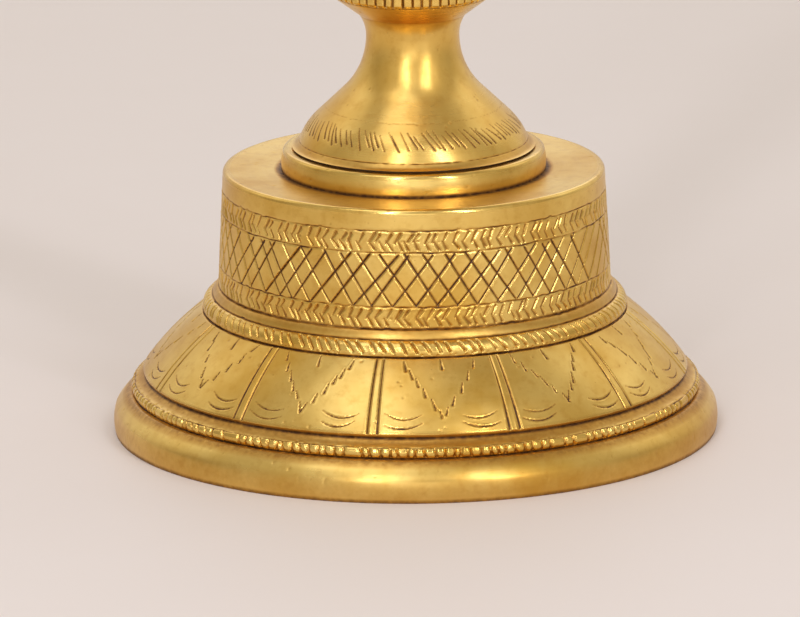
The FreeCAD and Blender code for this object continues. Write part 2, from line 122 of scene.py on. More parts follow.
def blind_holes(height, top_radius, top_reach, foot_radius, foot_floor, foot=0.0):
    """Inside outline of a section: a blind hole down from its top and another up from its foot."""
    top_floor = height - top_reach
    top_hole = [(top_radius, height), (top_radius, top_floor), (0.0, top_floor)]
    return top_hole + [(0.0, foot_floor), (foot_radius, foot_floor), (foot_radius, foot)]


def upright(tall, corners):
    """An outline whose heights are given as shares of the section's height."""
    return [(radius, share * tall, bend, spacing, name) for radius, share, bend, spacing, name in corners]


STEM_HOLLOW = 12.0
STEM_INSIDE = blind_holes(48.4, FIXED_HOLE, STUD_REACH, FIXED_HOLE, STEM_HOLLOW + STUD_REACH, STEM_HOLLOW)
STEM_INSIDE += [(9.28, STEM_HOLLOW), (20.04, 4.72), (25.5, 1.4), (26.9, 0.0)]
KNOP_HEIGHT = 42.0
KNOP_OUTSIDE = upright(KNOP_HEIGHT, [
    (13.4, 0.0, 0.0, 0.4, "foot"),
    (13.4, 0.04, 0.0, 0.3, "foot_top"),
    (11.25, 0.1, 0.0, 0.3, "neck_low"),
    (11.25, 0.14, -16.88, 0.4, "belly_low"),
    (22.5, 0.42, -20.25, 0.4, "belly"),
    (13.5, 0.76, 11.25, 0.4, "waist"),
    (11.25, 0.86, 0.0, 0.3, "neck_high"),
    (14.85, 0.88, -3.36, 0.3, "ring"),
    (14.85, 1.0, 0.0, 0.5, "top"),
])
KNOP_INSIDE = blind_holes(KNOP_HEIGHT, FREE_HOLE, STUD_REACH, FIXED_HOLE, STUD_REACH)
COLUMN_HEIGHT = 112.0
COLUMN_OUTSIDE = upright(COLUMN_HEIGHT, [
    (14.9, 0.0, -3.36, 0.3, "foot"),
    (14.9, 0.045, 0.0, 0.3, "foot_top"),
    (12.6, 0.06, 5.6, 0.4, "hollow"),
    (11.2, 0.1, 0.0, 0.8, "shaft_low"),
    (9.4, 0.46, 3.36, 0.3, "ring_low"),
    (12.4, 0.475, -4.48, 0.3, "ring"),
    (12.4, 0.525, 3.36, 0.3, "ring_top"),
    (9.4, 0.54, 0.0, 0.8, "shaft_high"),
    (8.6, 0.92, 3.36, 0.3, "cap_low"),
    (13.2, 0.95, -4.48, 0.3, "cap"),
    (13.2, 1.0, 0.0, 0.5, "cap_top"),
])
COLUMN_INSIDE = blind_holes(COLUMN_HEIGHT, FIXED_HOLE, STUD_REACH, FIXED_HOLE, STUD_REACH)
UPPER_KNOP_HEIGHT = 34.0
UPPER_KNOP_OUTSIDE = upright(UPPER_KNOP_HEIGHT, [
    (11.47, 0.0, 0.0, 0.3, "foot"),
    (11.47, 0.06, -12.95, 0.3, "belly_low"),
    (18.5, 0.48, 0.0, 0.3, "belly"),
    (18.5, 0.54, -12.95, 0.4, "belly_high"),
    (11.1, 0.92, 0.0, 0.3, "neck"),
    (11.1, 1.0, 0.0, 0.5, "top"),
])
UPPER_KNOP_INSIDE = blind_holes(UPPER_KNOP_HEIGHT, FIXED_HOLE, STUD_REACH, FIXED_HOLE, STUD_REACH)
SOCKET_OUTSIDE = [
    (12.5, 0.0, -2.0, 0.25, "foot"),
    (12.5, 3.0, 0.0, 0.25, "foot_top"),
    (9.5, 4.5, 23.4, 0.5, "neck"),
    (24.0, 22.0, 0.0, 0.3, "plate_low"),
    (26.0, 23.0, 0.0, 0.3, "edge_low"),
    (26.0, 26.0, 0.0, 0.2, "edge_high"),
    (25.0, 27.0, 0.0, 0.6, "top"),
    (14.0, 27.0, 0.0, 1.0, "end"),
]
SOCKET_INSIDE = blind_holes(27.0, FREE_HOLE, STUD_REACH, FIXED_HOLE, 0.5 * STUD_REACH)
POST_HEIGHT = 52.0
POST_OUTSIDE = upright(POST_HEIGHT, [
    (13.0, 0.0, 0.0, 0.3, "foot"),
    (13.0, 1.5 / POST_HEIGHT, 0.0, 0.3, "foot_top"),
    (11.0, 4.0 / POST_HEIGHT, 15.6, 0.4, "flare"),
    (7.4, 0.36, 0.0, 0.3, "shaft"),
    (9.8, 0.4, -2.08, 0.25, "ring"),
    (9.8, 0.46, 0.0, 0.3, "ring_top"),
    (6.8, 0.49, 0.0, 0.3, "neck"),
    (6.8, 0.54, -12.75, 0.4, "pot_low"),
    (15.0, 0.74, -12.75, 0.4, "pot"),
    (7.5, 0.94, 3.0, 0.3, "pot_high"),
    (9.3, 1.0, 0.0, 0.5, "top"),
])
POST_INSIDE = blind_holes(POST_HEIGHT, THIN_HOLE, THIN_REACH, FREE_HOLE, STUD_REACH + 1.0)
SPIRE_OUTSIDE = upright(57.5, [
    (9.3, 0.0, 0.0, 0.3, "foot"),
    (9.3, 0.03, 0.0, 0.3, "foot_top"),
    (4.75, 0.1, 0.0, 0.3, "neck"),
    (4.75, 0.14, -9.03, 0.3, "bud_low"),
    (9.5, 0.3, -28.5, 0.4, "bud"),
    (3.99, 0.66, 28.5, 0.5, "point_low"),
    (0.76, 0.985, 0.0, 0.3, "point"),
    (0.0, 1.0, 0.0, 0.3, "tip"),
])
SPIRE_INSIDE = [(0.0, THIN_REACH), (THIN_HOLE, THIN_REACH), (THIN_HOLE, 0.0)]

# Engraving: how many marks go round, the first rib's azimuth, and the radii of the rope ring and the skirt.
BEAD_COUNT = 198
ROPE_COUNT = 120
ZIGZAG_COUNT = 128
LATTICE_COUNT = 58
PANEL_COUNT = 12
FIRST_RIB = -9.5
KNURL_COUNT = 56
BELL_STROKES = 92
ROPE_RADIUS = 51.6
SKIRT_RADIUS = 58.0
# Between these azimuths the lattice has only one of its two sets of strokes.
LATTICE_GAP = (62.0, 80.0)


# ---- outlines and engraved surfaces

def edge_points(start, end, bend, spacing):
    """Points from one corner up to, but without, the next."""
    chord = end - start
    length = np.linalg.norm(chord)
    count = max(2, math.ceil(length / spacing))
    share = np.arange(count)[:, None] / count
    if bend == 0.0:
        return start + share * chord
    left = np.array([-chord[1], chord[0]]) / length
    side = math.copysign(1.0, bend)
    centre = 0.5 * (start + end) - left * side * math.sqrt(bend * bend - 0.25 * length * length)
    turn = -side * 2.0 * math.asin(0.5 * length / abs(bend)) * share[:, 0]
    arm = start - centre
    across = arm[0] * np.cos(turn) - arm[1] * np.sin(turn)
    up = arm[0] * np.sin(turn) + arm[1] * np.cos(turn)
    return centre + np.stack([across, up], axis=1)


def smooth_along(points, reach):
    """The points of a finely divided outline, averaged over a reach in millimetres. Both ends stay."""
    size = max(1, round(3.0 * reach / FINE_STEP))
    offsets = np.arange(-size, size + 1) * FINE_STEP
    weights = np.exp(-0.5 * (offsets / reach) ** 2)
    weights /= weights.sum()
    padded = np.pad(points, ((size, size), (0, 0)), mode="reflect", reflect_type="odd")
    return np.stack([np.convolve(padded[:, axis], weights, mode="valid") for axis in (0, 1)], axis=1)


class Surface:
    """The outside of a turned piece, as rings by segments, that can be engraved before it becomes a mesh."""

    def __init__(self, corners, segments, softness=0.14):
        points = [np.array(corner[:2]) for corner in corners]
        fine = []
        levels = []
        self.at = {}
        total = 0.0
        for index, corner in enumerate(corners[:-1]):
            run = edge_points(points[index], points[index + 1], corner[2], FINE_STEP)
            length = np.linalg.norm(np.diff(np.vstack([run, points[index + 1]]), axis=0), axis=1).sum()
            self.at[corner[4]] = total
            rings = math.ceil(length / corner[3])
            levels.extend(total + np.arange(rings) * length / rings)
            fine.append(run)
            total += length
        self.at[corners[-1][4]] = total
        fine = np.vstack(fine + [points[-1]])
        steps = np.linalg.norm(np.diff(fine, axis=0), axis=1)
        fine_level = np.concatenate([[0.0], np.cumsum(steps)])
        count = round(total / FINE_STEP)
        even = np.linspace(0.0, total, count + 1)
        fine = np.stack([np.interp(even, fine_level, fine[:, axis]) for axis in (0, 1)], axis=1)
        soft = smooth_along(fine, softness)
        heading = np.gradient(soft, axis=0)
        heading /= np.linalg.norm(heading, axis=1)[:, None] + 1e-9
        normal = np.stack([heading[:, 1], -heading[:, 0]], axis=1)
        hollow = ((smooth_along(fine, 0.8) - soft) * normal).sum(axis=1)

        def sampled(values):
            return np.interp(self.level, even, values)

        self.level = np.array(levels + [total])
        self.radius = sampled(soft[:, 0])
        self.height = sampled(soft[:, 1])
        self.out_radius = sampled(normal[:, 0])
        self.out_height = sampled(normal[:, 1])
        self.hollow = sampled(hollow)
        self.segments = segments
        self.azimuth = np.arange(segments) * FULL_TURN / segments
        size = (len(self.level), segments)
        self.relief = np.zeros(size)
        # Darkening per vertex: patina in cuts and pits, and the painted shade of some of the foot's bands.
        self.soot_and_shade = np.zeros(size)
        self.shine = np.zeros(size)

    def window(self, low, high, left, right):
        """Row and column numbers that cover levels low to high and azimuths left to right."""
        first, last = np.searchsorted(self.level, [low, high])
        step = FULL_TURN / self.segments
        columns = np.arange(math.floor(left / step), math.ceil(right / step) + 1)
        return np.arange(first, last), columns

    def cut(self, start, end, width, depth, lean=0.0, fade=0.5, rounded=False, burr=0.1, soil=1.0,
            clean=0.36):
        """One stroke between two (azimuth, level) points. It is thinner at its start, and lean widens one
        side. Dirt of strength soil fills its bottom, below the clean share of its walls."""
        middle = 0.5 * (start[1] + end[1])
        radius = np.interp(middle, self.level, self.radius)
        across = math.radians(end[0] - start[0]) * radius
        up = end[1] - start[1]
        margin = math.degrees(width / radius)
        rows, columns = self.window(
            min(start[1], end[1]) - width,
            max(start[1], end[1]) + width,
            min(start[0], end[0]) - margin,
            max(start[0], end[0]) + margin,
        )
        if len(rows) == 0:
            return
        step = FULL_TURN / self.segments
        x = np.radians(columns * step - start[0])[None, :] * radius
        y = (self.level[rows] - start[1])[:, None]
        share = np.clip((x * across + y * up) / (across * across + up * up + 1e-9), 0.0, 1.0)
        away = np.hypot(x - share * across, y - share * up)
        side = np.sign(x * up - y * across)
        strength = fade + (1.0 - fade) * share
        half = 0.5 * width * (1.0 + lean * side) * strength
        wedge = np.clip(1.0 - away / half, 0.0, 1.0)
        if rounded:
            wedge = wedge * wedge * (3.0 - 2.0 * wedge)
        patch = np.ix_(rows, columns % self.segments)
        before = self.relief[patch]
        raised = burr * depth * np.exp(-(((away - 1.15 * half) / (0.3 * width)) ** 2)) * (wedge == 0.0)
        carved = np.minimum(before, -depth * strength * wedge)
        self.relief[patch] = np.where(wedge > 0.0, carved, before + raised)
        held = np.clip((wedge - clean) / 0.28, 0.0, 1.0) * min(1.0, depth / FULL_DIRT_DEPTH) * soil
        wall = np.clip(6.0 * wedge, 0.0, 1.0) * np.clip(1.0 - held, 0.0, 1.0)
        self.shine[patch] = np.maximum(self.shine[patch], wall)
        self.soot_and_shade[patch] = np.maximum(self.soot_and_shade[patch], held)

    def path(self, corners, width, depth, **style):
        """A curved stroke through several points, thickest in its middle."""
        count = len(corners) - 1
        for index in range(count):
            weight = math.sin(math.pi * (index + 0.5) / count) ** 0.6
            broad = width * (0.45 + 0.55 * weight)
            self.cut(corners[index], corners[index + 1], broad, depth * weight, fade=1.0, **style)

    def ring(self, level, width, depth, rng, wobble=0.1, burr=0.0):
        """A groove all the way round, a little wavy and uneven in depth, with a burr along its lower side."""
        reach = 2.0 * width + wobble
        rows, _ = self.window(level - reach, level + reach, 0.0, 0.0)
        centre = level + wobble * drift(self.azimuth, rng, 34, 110)
        strength = np.clip(0.75 + 0.35 * drift(self.azimuth, rng, 20, 90), 0.25, 1.0)
        below = self.level[rows][:, None] - centre[None, :]
        wedge = np.clip(1.0 - np.abs(below) / (0.5 * width), 0.0, 1.0)
        lip = burr * np.exp(-(((below + 0.9 * width) / (0.45 * width)) ** 2))
        current = self.relief[rows]
        carved = np.minimum(current, -depth * wedge * strength)
        self.relief[rows] = np.where(wedge > 0.0, carved, current + lip)
        held = np.clip(2.8 * wedge - 0.9, 0.0, 1.0) * strength * min(1.0, depth / FULL_DIRT_DEPTH)
        self.soot_and_shade[rows] = np.maximum(self.soot_and_shade[rows], held)

    def dimple(self, azimuth, level, size, depth):
        """A small round pit, or a bump where depth is negative."""
        radius = np.interp(level, self.level, self.radius)
        margin = math.degrees(size / radius)
        rows, columns = self.window(level - size, level + size, azimuth - margin, azimuth + margin)
        x = np.radians(columns * FULL_TURN / self.segments - azimuth)[None, :] * radius
        y = (self.level[rows] - level)[:, None]
        wedge = np.clip(1.0 - (x * x + y * y) / (size * size), 0.0, 1.0)
        patch = np.ix_(rows, columns % self.segments)
        self.relief[patch] -= depth * wedge
        if depth > 0.0:
            self.soot_and_shade[patch] = np.maximum(self.soot_and_shade[patch], 0.35 * wedge ** 2)

    def patina_and_shade_band(self, low, high, amount):
        """A brown band between two levels, strongest in the middle. Some of the foot's bands are painted
        shade; each such call says so.
        """
        share = np.clip((self.level - low) / (high - low), 0.0, 1.0)
        band = amount * np.sin(math.pi * share) ** 0.7
        self.soot_and_shade = np.maximum(self.soot_and_shade, band[:, None])

    def sway(self, rng, size):
        """The slow unevenness of a hand-finished surface."""
        for _ in range(14):
            waves = rng.integers(2, 34)
            wavelength = rng.uniform(6.0, 40.0)
            phase = rng.uniform(0.0, 2.0 * math.pi, 2)
            around = np.sin(np.radians(self.azimuth) * waves + phase[0])[None, :]
            along = np.sin(2.0 * math.pi * self.level / wavelength + phase[1])[:, None]
            self.relief += size / 4.0 * around * along

    def points(self, seat):
        """Vertex positions in millimetres, rings first."""
        radius = self.radius[:, None] + self.out_radius[:, None] * self.relief
        height = self.height[:, None] + self.out_height[:, None] * self.relief + seat
        turn = np.radians(self.azimuth)[None, :]
        return np.stack([radius * np.sin(turn), -radius * np.cos(turn), height], axis=2)

    def grime_and_shade(self):
        """How dark brown each vertex is, 0 to 1: patina in its cuts, pits and inside corners, together with
        the foot's brown bands, some of which are painted shade.
        """
        corner = np.clip((self.hollow - 0.05) / 0.2, 0.0, 1.0)[:, None]
        return np.clip(np.maximum(self.soot_and_shade, corner), 0.0, 1.0)

    def wear(self):
        """How bright each vertex is, 0 to 1: rubbed on an edge, or fresh from the graver in a cut's wall."""
        edge = np.clip(-self.hollow / 0.16, 0.0, 1.0)[:, None]
        return np.maximum(edge, self.shine)


def drift(azimuth, rng, slow, fast):
    """A smooth uneven line round a full turn, about -1 to 1."""
    total = np.zeros(len(azimuth))
    for _ in range(12):
        waves = rng.integers(3, slow) if rng.random() < 0.5 else rng.integers(slow, fast)
        total += np.sin(np.radians(azimuth) * waves + rng.uniform(0.0, 2.0 * math.pi))
    return total / 4.0


# ---- meshes

def bridge(low, high):
    """Faces between two rings of vertex numbers. Rings may have one vertex, the same number or a multiple."""
    if len(low) == 1 and len(high) == 1:
        return []
    if len(low) == len(high):
        return [np.stack([low, np.roll(low, -1), np.roll(high, -1), high], axis=1)]
    if len(high) == 1:
        return [np.stack([low, np.roll(low, -1), np.full(len(low), high[0])], axis=1)]
    if len(low) == 1:
        return [np.stack([np.full(len(high), low[0]), np.roll(high, -1), high], axis=1)]
    fine, coarse = (low, high) if len(low) > len(high) else (high, low)
    ratio = len(fine) // len(coarse)
    starts = np.arange(len(coarse)) * ratio
    fan = np.stack([fine[(starts + step) % len(fine)] for step in range(ratio + 1)], axis=1)
    after = np.roll(coarse, -1)
    if len(low) > len(high):
        return [np.concatenate([fan, after[:, None], coarse[:, None]], axis=1)]
    return [np.concatenate([coarse[:, None], after[:, None], fan[:, ::-1]], axis=1)]


def make_mesh(name, points, faces, grime_and_shade, wear):
    """A mesh object from points in millimetres and blocks of faces, with wear per vertex and a brown
    darkening per vertex that holds patina and, on the foot, painted shade.
    """
    mesh = bpy.data.meshes.new(name)
    corners = np.concatenate([block.ravel() for block in faces]).astype(np.int32)
    sizes = np.concatenate([np.full(len(block), block.shape[1]) for block in faces])
    starts = np.concatenate([[0], np.cumsum(sizes)[:-1]]).astype(np.int32)
    mesh.vertices.add(len(points))
    mesh.vertices.foreach_set("co", (points * MM).astype(np.float32).ravel())
    mesh.loops.add(len(corners))
    mesh.loops.foreach_set("vertex_index", corners)
    mesh.polygons.add(len(sizes))
    mesh.polygons.foreach_set("loop_start", starts)
    mesh.polygons.foreach_set("use_smooth", np.ones(len(sizes), bool))
    mesh.update(calc_edges=True)
    mesh.validate()
    mesh.set_sharp_from_angle(angle=math.radians(50.0))
    for label, values in (("grime_and_shade", grime_and_shade), ("wear", wear)):
        attribute = mesh.attributes.new(label, "FLOAT", "POINT")
        attribute.data.foreach_set("value", values.astype(np.float32))
    piece = bpy.data.objects.new(name, mesh)
    bpy.context.scene.collection.objects.link(piece)
    return piece


def seat_of(node):
    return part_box(node)[0].z / MM


def ring_points(radius, height, turn):
    """Points round the axis at one height, for a list of turns in radians."""
    level = np.full(len(turn), height)
    return np.stack([radius * np.sin(turn), -radius * np.cos(turn), level], axis=1)


def even_turns(count):
    return np.arange(count) * 2.0 * math.pi / count


class Shell:
    """A closed mesh in the making: rings of points, each joined to the next and the last to the first."""

    def __init__(self):
        self.points = []
        self.grime_and_shade = []
        self.wear = []
        self.rings = []
        self.used = 0

    def add(self, points, grime_and_shade, wear=0.0, on_axis=False):
        """One more ring. On the axis it is a single point."""
        size = 1 if on_axis else len(points)
        self.points.append(points[:size])
        for store, values in ((self.grime_and_shade, grime_and_shade), (self.wear, wear)):
            store.append(np.broadcast_to(values, (len(points),))[:size])
        self.rings.append(self.used + np.arange(size))
        self.used += size

    def finish(self, name):
        faces = []
        for low, high in zip(self.rings, self.rings[1:] + self.rings[:1]):
            faces.extend(bridge(low, high))
        grime_and_shade = np.concatenate(self.grime_and_shade)
        return make_mesh(name, np.vstack(self.points), faces, grime_and_shade, np.concatenate(self.wear))


def closed_piece(name, surface, inside, seat, coarse):
    """Joins an engraved outside and a plain inside outline into one closed mesh."""
    shell = Shell()
    rows = zip(surface.points(seat), surface.grime_and_shade(), surface.wear(), surface.radius)
    for points, grime_and_shade, wear, radius in rows:
        shell.add(points, grime_and_shade, wear, radius < ON_AXIS)
    turn = even_turns(coarse)
    for radius, height in inside:
        shell.add(ring_points(radius, height + seat, turn), INSIDE_GRIME, 0.0, radius < ON_AXIS)
    return shell.finish(name)


def settle(piece, node, body, material):
    """Gives a piece its finish and its body, in place of a CAD node."""
    piece.data.materials.append(material)
    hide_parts(node)
    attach(piece, body)
    return piece


# ---- engraving of the foot

def degrees_for(length, radius):
    return math.degrees(length / radius)


def bead_ring(surface, rng):
    """Punched beads between two lines, some of them run together."""
    low = surface.at["bead_foot"]
    high = surface.at["bead_top"]
    pitch = FULL_TURN / BEAD_COUNT
    for number in range(BEAD_COUNT):
        if rng.random() < 0.1:
            continue
        azimuth = (number + rng.uniform(-0.2, 0.2)) * pitch
        slant = rng.uniform(-0.1, 0.25)
        width = rng.uniform(1.0, 1.45)
        depth = rng.uniform(0.45, 0.7)
        surface.cut((azimuth + slant, low + 0.5), (azimuth - slant, high - 0.4), width, depth,
                    fade=0.9, rounded=True, burr=0.0, soil=0.45)
    surface.ring(low - 0.1, 0.7, 0.4, rng, 0.05)
    surface.ring(high + 0.05, 0.6, 0.3, rng, 0.08)
    for number in range(2 * BEAD_COUNT):
        if rng.random() < 0.45:
            azimuth = (number + rng.uniform(-0.3, 0.3)) * 0.5 * pitch
            level = high + rng.uniform(0.3, 0.7)
            surface.dimple(azimuth, level, rng.uniform(0.3, 0.5), rng.uniform(0.1, 0.2))


def rope_ring(surface, rng):
    """Slanting gouges that leave the strands of a rope, over a row of small dots."""
    low = surface.at["rope_foot"]
    high = surface.at["rope_top"]
    pitch = FULL_TURN / ROPE_COUNT
    for number in range(ROPE_COUNT):
        azimuth = (number + rng.uniform(-0.22, 0.22)) * pitch
        slant = degrees_for(rng.uniform(0.5, 1.0), ROPE_RADIUS)
        top = high - rng.uniform(0.7, 1.1)
        foot = low + rng.uniform(1.0, 1.5)
        surface.cut((azimuth - slant, top), (azimuth + slant, foot), rng.uniform(0.9, 1.35),
                    rng.uniform(0.35, 0.6), fade=0.8, rounded=True, burr=0.05, soil=0.5)
    for number in range(2 * ROPE_COUNT):
        if rng.random() < 0.6:
            azimuth = (number + rng.uniform(-0.25, 0.25)) * 0.5 * pitch
            level = low + rng.uniform(0.5, 0.8)
            surface.dimple(azimuth, level, rng.uniform(0.25, 0.45), rng.uniform(0.12, 0.25))
    surface.ring(low - 0.05, 0.7, 0.45, rng, 0.05)
    surface.ring(high, 0.6, 0.25, rng, 0.08)


def zigzag_band(surface, rng, low, high):
    """Two rows of short, broad graver strokes that meet in the middle of the band."""
    middle = 0.5 * (low + high)
    radius = np.interp(middle, surface.level, surface.radius)
    pitch = FULL_TURN / ZIGZAG_COUNT
    for end, side in ((high - 0.5, 1.0), (low + 0.6, -1.0)):
        for number in range(ZIGZAG_COUNT):
            azimuth = (number + rng.uniform(-0.26, 0.26)) * pitch
            reach = degrees_for(rng.uniform(0.8, 1.5), radius)
            start = middle + side * rng.uniform(-0.35, 0.3)
            surface.cut((azimuth, start), (azimuth + reach, end - side * rng.uniform(0.0, 0.4)),
                        rng.uniform(0.85, 1.5), rng.uniform(0.34, 0.56), lean=side * rng.uniform(0.0, 0.35),
                        fade=rng.uniform(0.45, 0.8), burr=0.05, soil=0.6)
            if rng.random() < 0.4:
                surface.dimple(azimuth + 0.9 * reach, start, rng.uniform(0.3, 0.45), rng.uniform(0.06, 0.14))


def lattice_band(surface, rng, low, high):
    """Two sets of long crossing strokes, cut by eye."""
    tall = high - low
    radius = np.interp(0.5 * (low + high), surface.level, surface.radius)
    pitch = FULL_TURN / LATTICE_COUNT
    for number in range(LATTICE_COUNT):
        azimuth = (number + rng.uniform(-0.12, 0.12)) * pitch
        run = degrees_for(tall * rng.uniform(0.64, 0.84), radius)
        surface.cut((azimuth, low + rng.uniform(0.1, 0.5)), (azimuth + run, high - rng.uniform(0.2, 0.7)),
                    rng.uniform(0.8, 1.0), rng.uniform(0.36, 0.56), lean=rng.uniform(0.2, 0.4), fade=0.8)
        if LATTICE_GAP[0] < azimuth % FULL_TURN < LATTICE_GAP[1]:
            continue
        azimuth += rng.uniform(-0.1, 0.1) * pitch
        run = degrees_for(tall * rng.uniform(0.54, 0.66), radius)
        surface.cut((azimuth, low + rng.uniform(0.1, 0.5)), (azimuth - run, high - rng.uniform(0.2, 0.7)),
                    rng.uniform(0.8, 1.0), rng.uniform(0.36, 0.56), lean=rng.uniform(-0.4, -0.2), fade=0.75)


def rib(surface, rng, azimuth, low, high):
    """A double groove that runs up the skirt."""
    for offset in (-1.08, 1.08):
        foot = azimuth + offset + rng.uniform(-0.12, 0.12)
        top = azimuth + offset + rng.uniform(-0.25, 0.25)
        surface.cut((top, high - 0.15), (foot, low + 0.1), rng.uniform(0.72, 0.88), rng.uniform(0.3, 0.38),
                    lean=rng.uniform(-0.1, 0.1), fade=0.85, burr=0.15)


def panel(surface, rng, left, low, high):
    """Between two ribs: a V of dashes, a tick at the top and two pairs of smiling arcs at the foot."""
    tall = high - low
    middle = left + 0.5 * FULL_TURN / PANEL_COUNT + rng.uniform(-0.5, 0.5)
    apex = low + tall * rng.uniform(0.26, 0.34)
    for side in (-1.0, 1.0):
        spread = rng.uniform(8.6, 9.8)
        count = rng.integers(5, 7)
        for number in range(count):
            share = (number + rng.uniform(-0.12, 0.12)) / (count - 0.45)
            level = high - 0.5 + (apex - high) * share
            azimuth = middle + side * spread * (1.0 - share)
            length = rng.uniform(2.1, 3.0)
            slant = degrees_for(rng.uniform(0.35, 1.15), SKIRT_RADIUS)
            surface.cut((azimuth, level), (azimuth - side * slant, level - length), rng.uniform(0.75, 0.95),
                        rng.uniform(0.2, 0.3), fade=0.35, burr=0.15)
    tick = middle + rng.uniform(-0.9, 0.9)
    surface.cut((tick, high - 0.2), (tick + rng.uniform(0.1, 0.6), high - rng.uniform(3.0, 3.8)),
                rng.uniform(0.75, 0.95), rng.uniform(0.18, 0.26), fade=0.35, burr=0.15)
    for centre in (left + 6.6, left + FULL_TURN / PANEL_COUNT - 6.6):
        for level in (low + 3.9, low + 1.5):
            azimuth = centre + rng.uniform(-0.4, 0.4)
            half = rng.uniform(3.5, 4.1)
            sag = rng.uniform(1.1, 1.5)
            tilt = rng.uniform(-0.35, 0.35)
            corners = []
            for step in np.linspace(-1.0, 1.0, 9):
                corners.append((azimuth + half * step, level + tilt * step + sag * step * step))
            surface.path(corners, rng.uniform(0.55, 0.75), rng.uniform(0.18, 0.26), burr=0.15)


def scatter_pits(surface, rng, count, low, high):
    """Casting pits and small knocks."""
    for _ in range(count):
        surface.dimple(rng.uniform(0.0, FULL_TURN), rng.uniform(low, high), rng.uniform(0.22, 0.5),
                       rng.uniform(0.05, 0.14))


def foot():
    rng = np.random.default_rng(SEED)
    surface = Surface(FOOT_OUTSIDE, 1440)
    at = surface.at
    surface.sway(rng, 0.02)
    bead_ring(surface, rng)
    rope_ring(surface, rng)
    for number in range(PANEL_COUNT):
        azimuth = FIRST_RIB + number * FULL_TURN / PANEL_COUNT + rng.uniform(-0.7, 0.7)
        rib(surface, rng, azimuth, at["skirt_foot"], at["skirt_top"])
        panel(surface, rng, azimuth, at["skirt_foot"], at["skirt_top"])
    zigzag_band(surface, rng, at["drum_foot"], at["groove_low"])
    lattice_band(surface, rng, at["groove_low"], at["groove_middle"])
    zigzag_band(surface, rng, at["groove_middle"], at["groove_high"])
    for label in ("groove_low", "groove_middle", "groove_high"):
        surface.ring(at[label], 0.62, 0.34, rng, 0.12, burr=0.05)
    surface.ring(at["drum_foot"], 0.7, 0.35, rng, 0.1, burr=0.04)
    surface.ring(at["cove_top"], 0.8, 0.3, rng, 0.05)
    scatter_pits(surface, rng, 160, at["rim_foot"], at["shelf_top"])
    scatter_pits(surface, rng, 110, at["skirt_foot"], at["skirt_top"])
    scatter_pits(surface, rng, 60, at["groove_high"], at["collar_seat"])
    surface.patina_and_shade_band(at["collar_seat"] - 1.1, at["collar_seat"] + 1.1, 0.85)
    # Painted shadow: a dark band round the rim's foot, where it meets the floor.
    surface.patina_and_shade_band(-0.7, 0.9, 0.8)
    # Painted reflection over light patina: the rim is darkened as though it mirrored a dark table in front of
    # it.
    surface.patina_and_shade_band(0.0, at["rim_top"] + 1.0, 0.24)
    # Painted shade: the shelf below the bead ring is darkened to dim the lights' reflection on it.
    surface.patina_and_shade_band(at["shelf_top"] - 2.5, at["bead_foot"] + 0.6, 0.48)
    # Painted shade: the cove under the skirt's overhanging foot is darkened.
    surface.patina_and_shade_band(at["bead_top"] + 0.4, at["skirt_foot"] + 0.6, 0.45)
    surface.patina_and_shade_band(at["rope_top"] + 0.3, at["drum_foot"] + 0.3, 0.35)
    piece = closed_piece("foot_worked", surface, FOOT_INSIDE, 0.0, 120)
    return settle(piece, "base_casting", "foot", FOOT_BRASS)


def collar():
    rng = np.random.default_rng(SEED + 1)
    surface = Surface(COLLAR_OUTSIDE, 480)
    surface.sway(rng, 0.015)
    scatter_pits(surface, rng, 30, 0.0, surface.at["top"])
    surface.patina_and_shade_band(-0.7, 0.8, 0.95)
    piece = closed_piece("collar_worked", surface, COLLAR_INSIDE, seat_of("stem_collar"), 48)
    return settle(piece, "stem_collar", "foot", FOOT_BRASS)


def knurling(surface, rng, low, high, count, width, depth):
    """Upright cuts that leave small blocks round an edge."""
    pitch = FULL_TURN / count
    for number in range(count):
        azimuth = (number + rng.uniform(-0.1, 0.1)) * pitch
        surface.cut((azimuth, high), (azimuth + rng.uniform(-0.6, 0.6), low), width * rng.uniform(0.85, 1.15),
                    depth, fade=0.9, rounded=True, burr=0.0, soil=0.8)


def short_strokes(surface, rng, low, high, count, slant, width, depth):
    """A row of short slanting strokes of uneven length and spacing."""
    pitch = FULL_TURN / count
    for number in range(count):
        azimuth = (number + rng.uniform(-0.28, 0.28)) * pitch
        top = high - rng.uniform(0.0, 0.25) * (high - low)
        foot_level = low + rng.uniform(0.0, 0.2) * (high - low)
        radius = np.interp(top, surface.level, surface.radius)
        run = degrees_for(slant * rng.uniform(0.8, 1.2), radius)
        surface.cut((azimuth, top), (azimuth + run, foot_level), width * rng.uniform(0.8, 1.2),
                    depth * rng.uniform(0.6, 1.1), fade=0.45, burr=0.08, clean=0.08)


def stem():
    rng = np.random.default_rng(SEED + 2)
    surface = Surface(STEM_OUTSIDE, 660)
    at = surface.at
    surface.sway(rng, 0.012)
    shoulder = at["shoulder"]
    short_strokes(surface, rng, shoulder - 4.6, shoulder + 1.2, BELL_STROKES, 2.3, 0.58, 0.15)
    surface.ring(shoulder + 3.4, 0.3, 0.045, rng, 0.15)
    surface.ring(at["lip"], 0.5, 0.2, rng, 0.04)
    knurling(surface, rng, at["knurl_foot"], at["knurl_top"], KNURL_COUNT, 1.0, 0.6)
    surface.ring(at["knurl_foot"] - 0.5, 0.7, 0.2, rng, 0.1)
    scatter_pits(surface, rng, 70, at["foot"], at["knurl_foot"])
    piece = closed_piece("stem_worked", surface, STEM_INSIDE, seat_of("lower_stem"), 60)
    return settle(piece, "lower_stem", "stem", STEM_BRASS)


# ---- the upper sections

def ring_lines(surface, rng, levels, depth=0.2, wobble=0.04, burr=0.0):
    """Fine turned lines at several levels."""
    for level in levels:
        surface.ring(level, 0.5, depth, rng, wobble, burr)


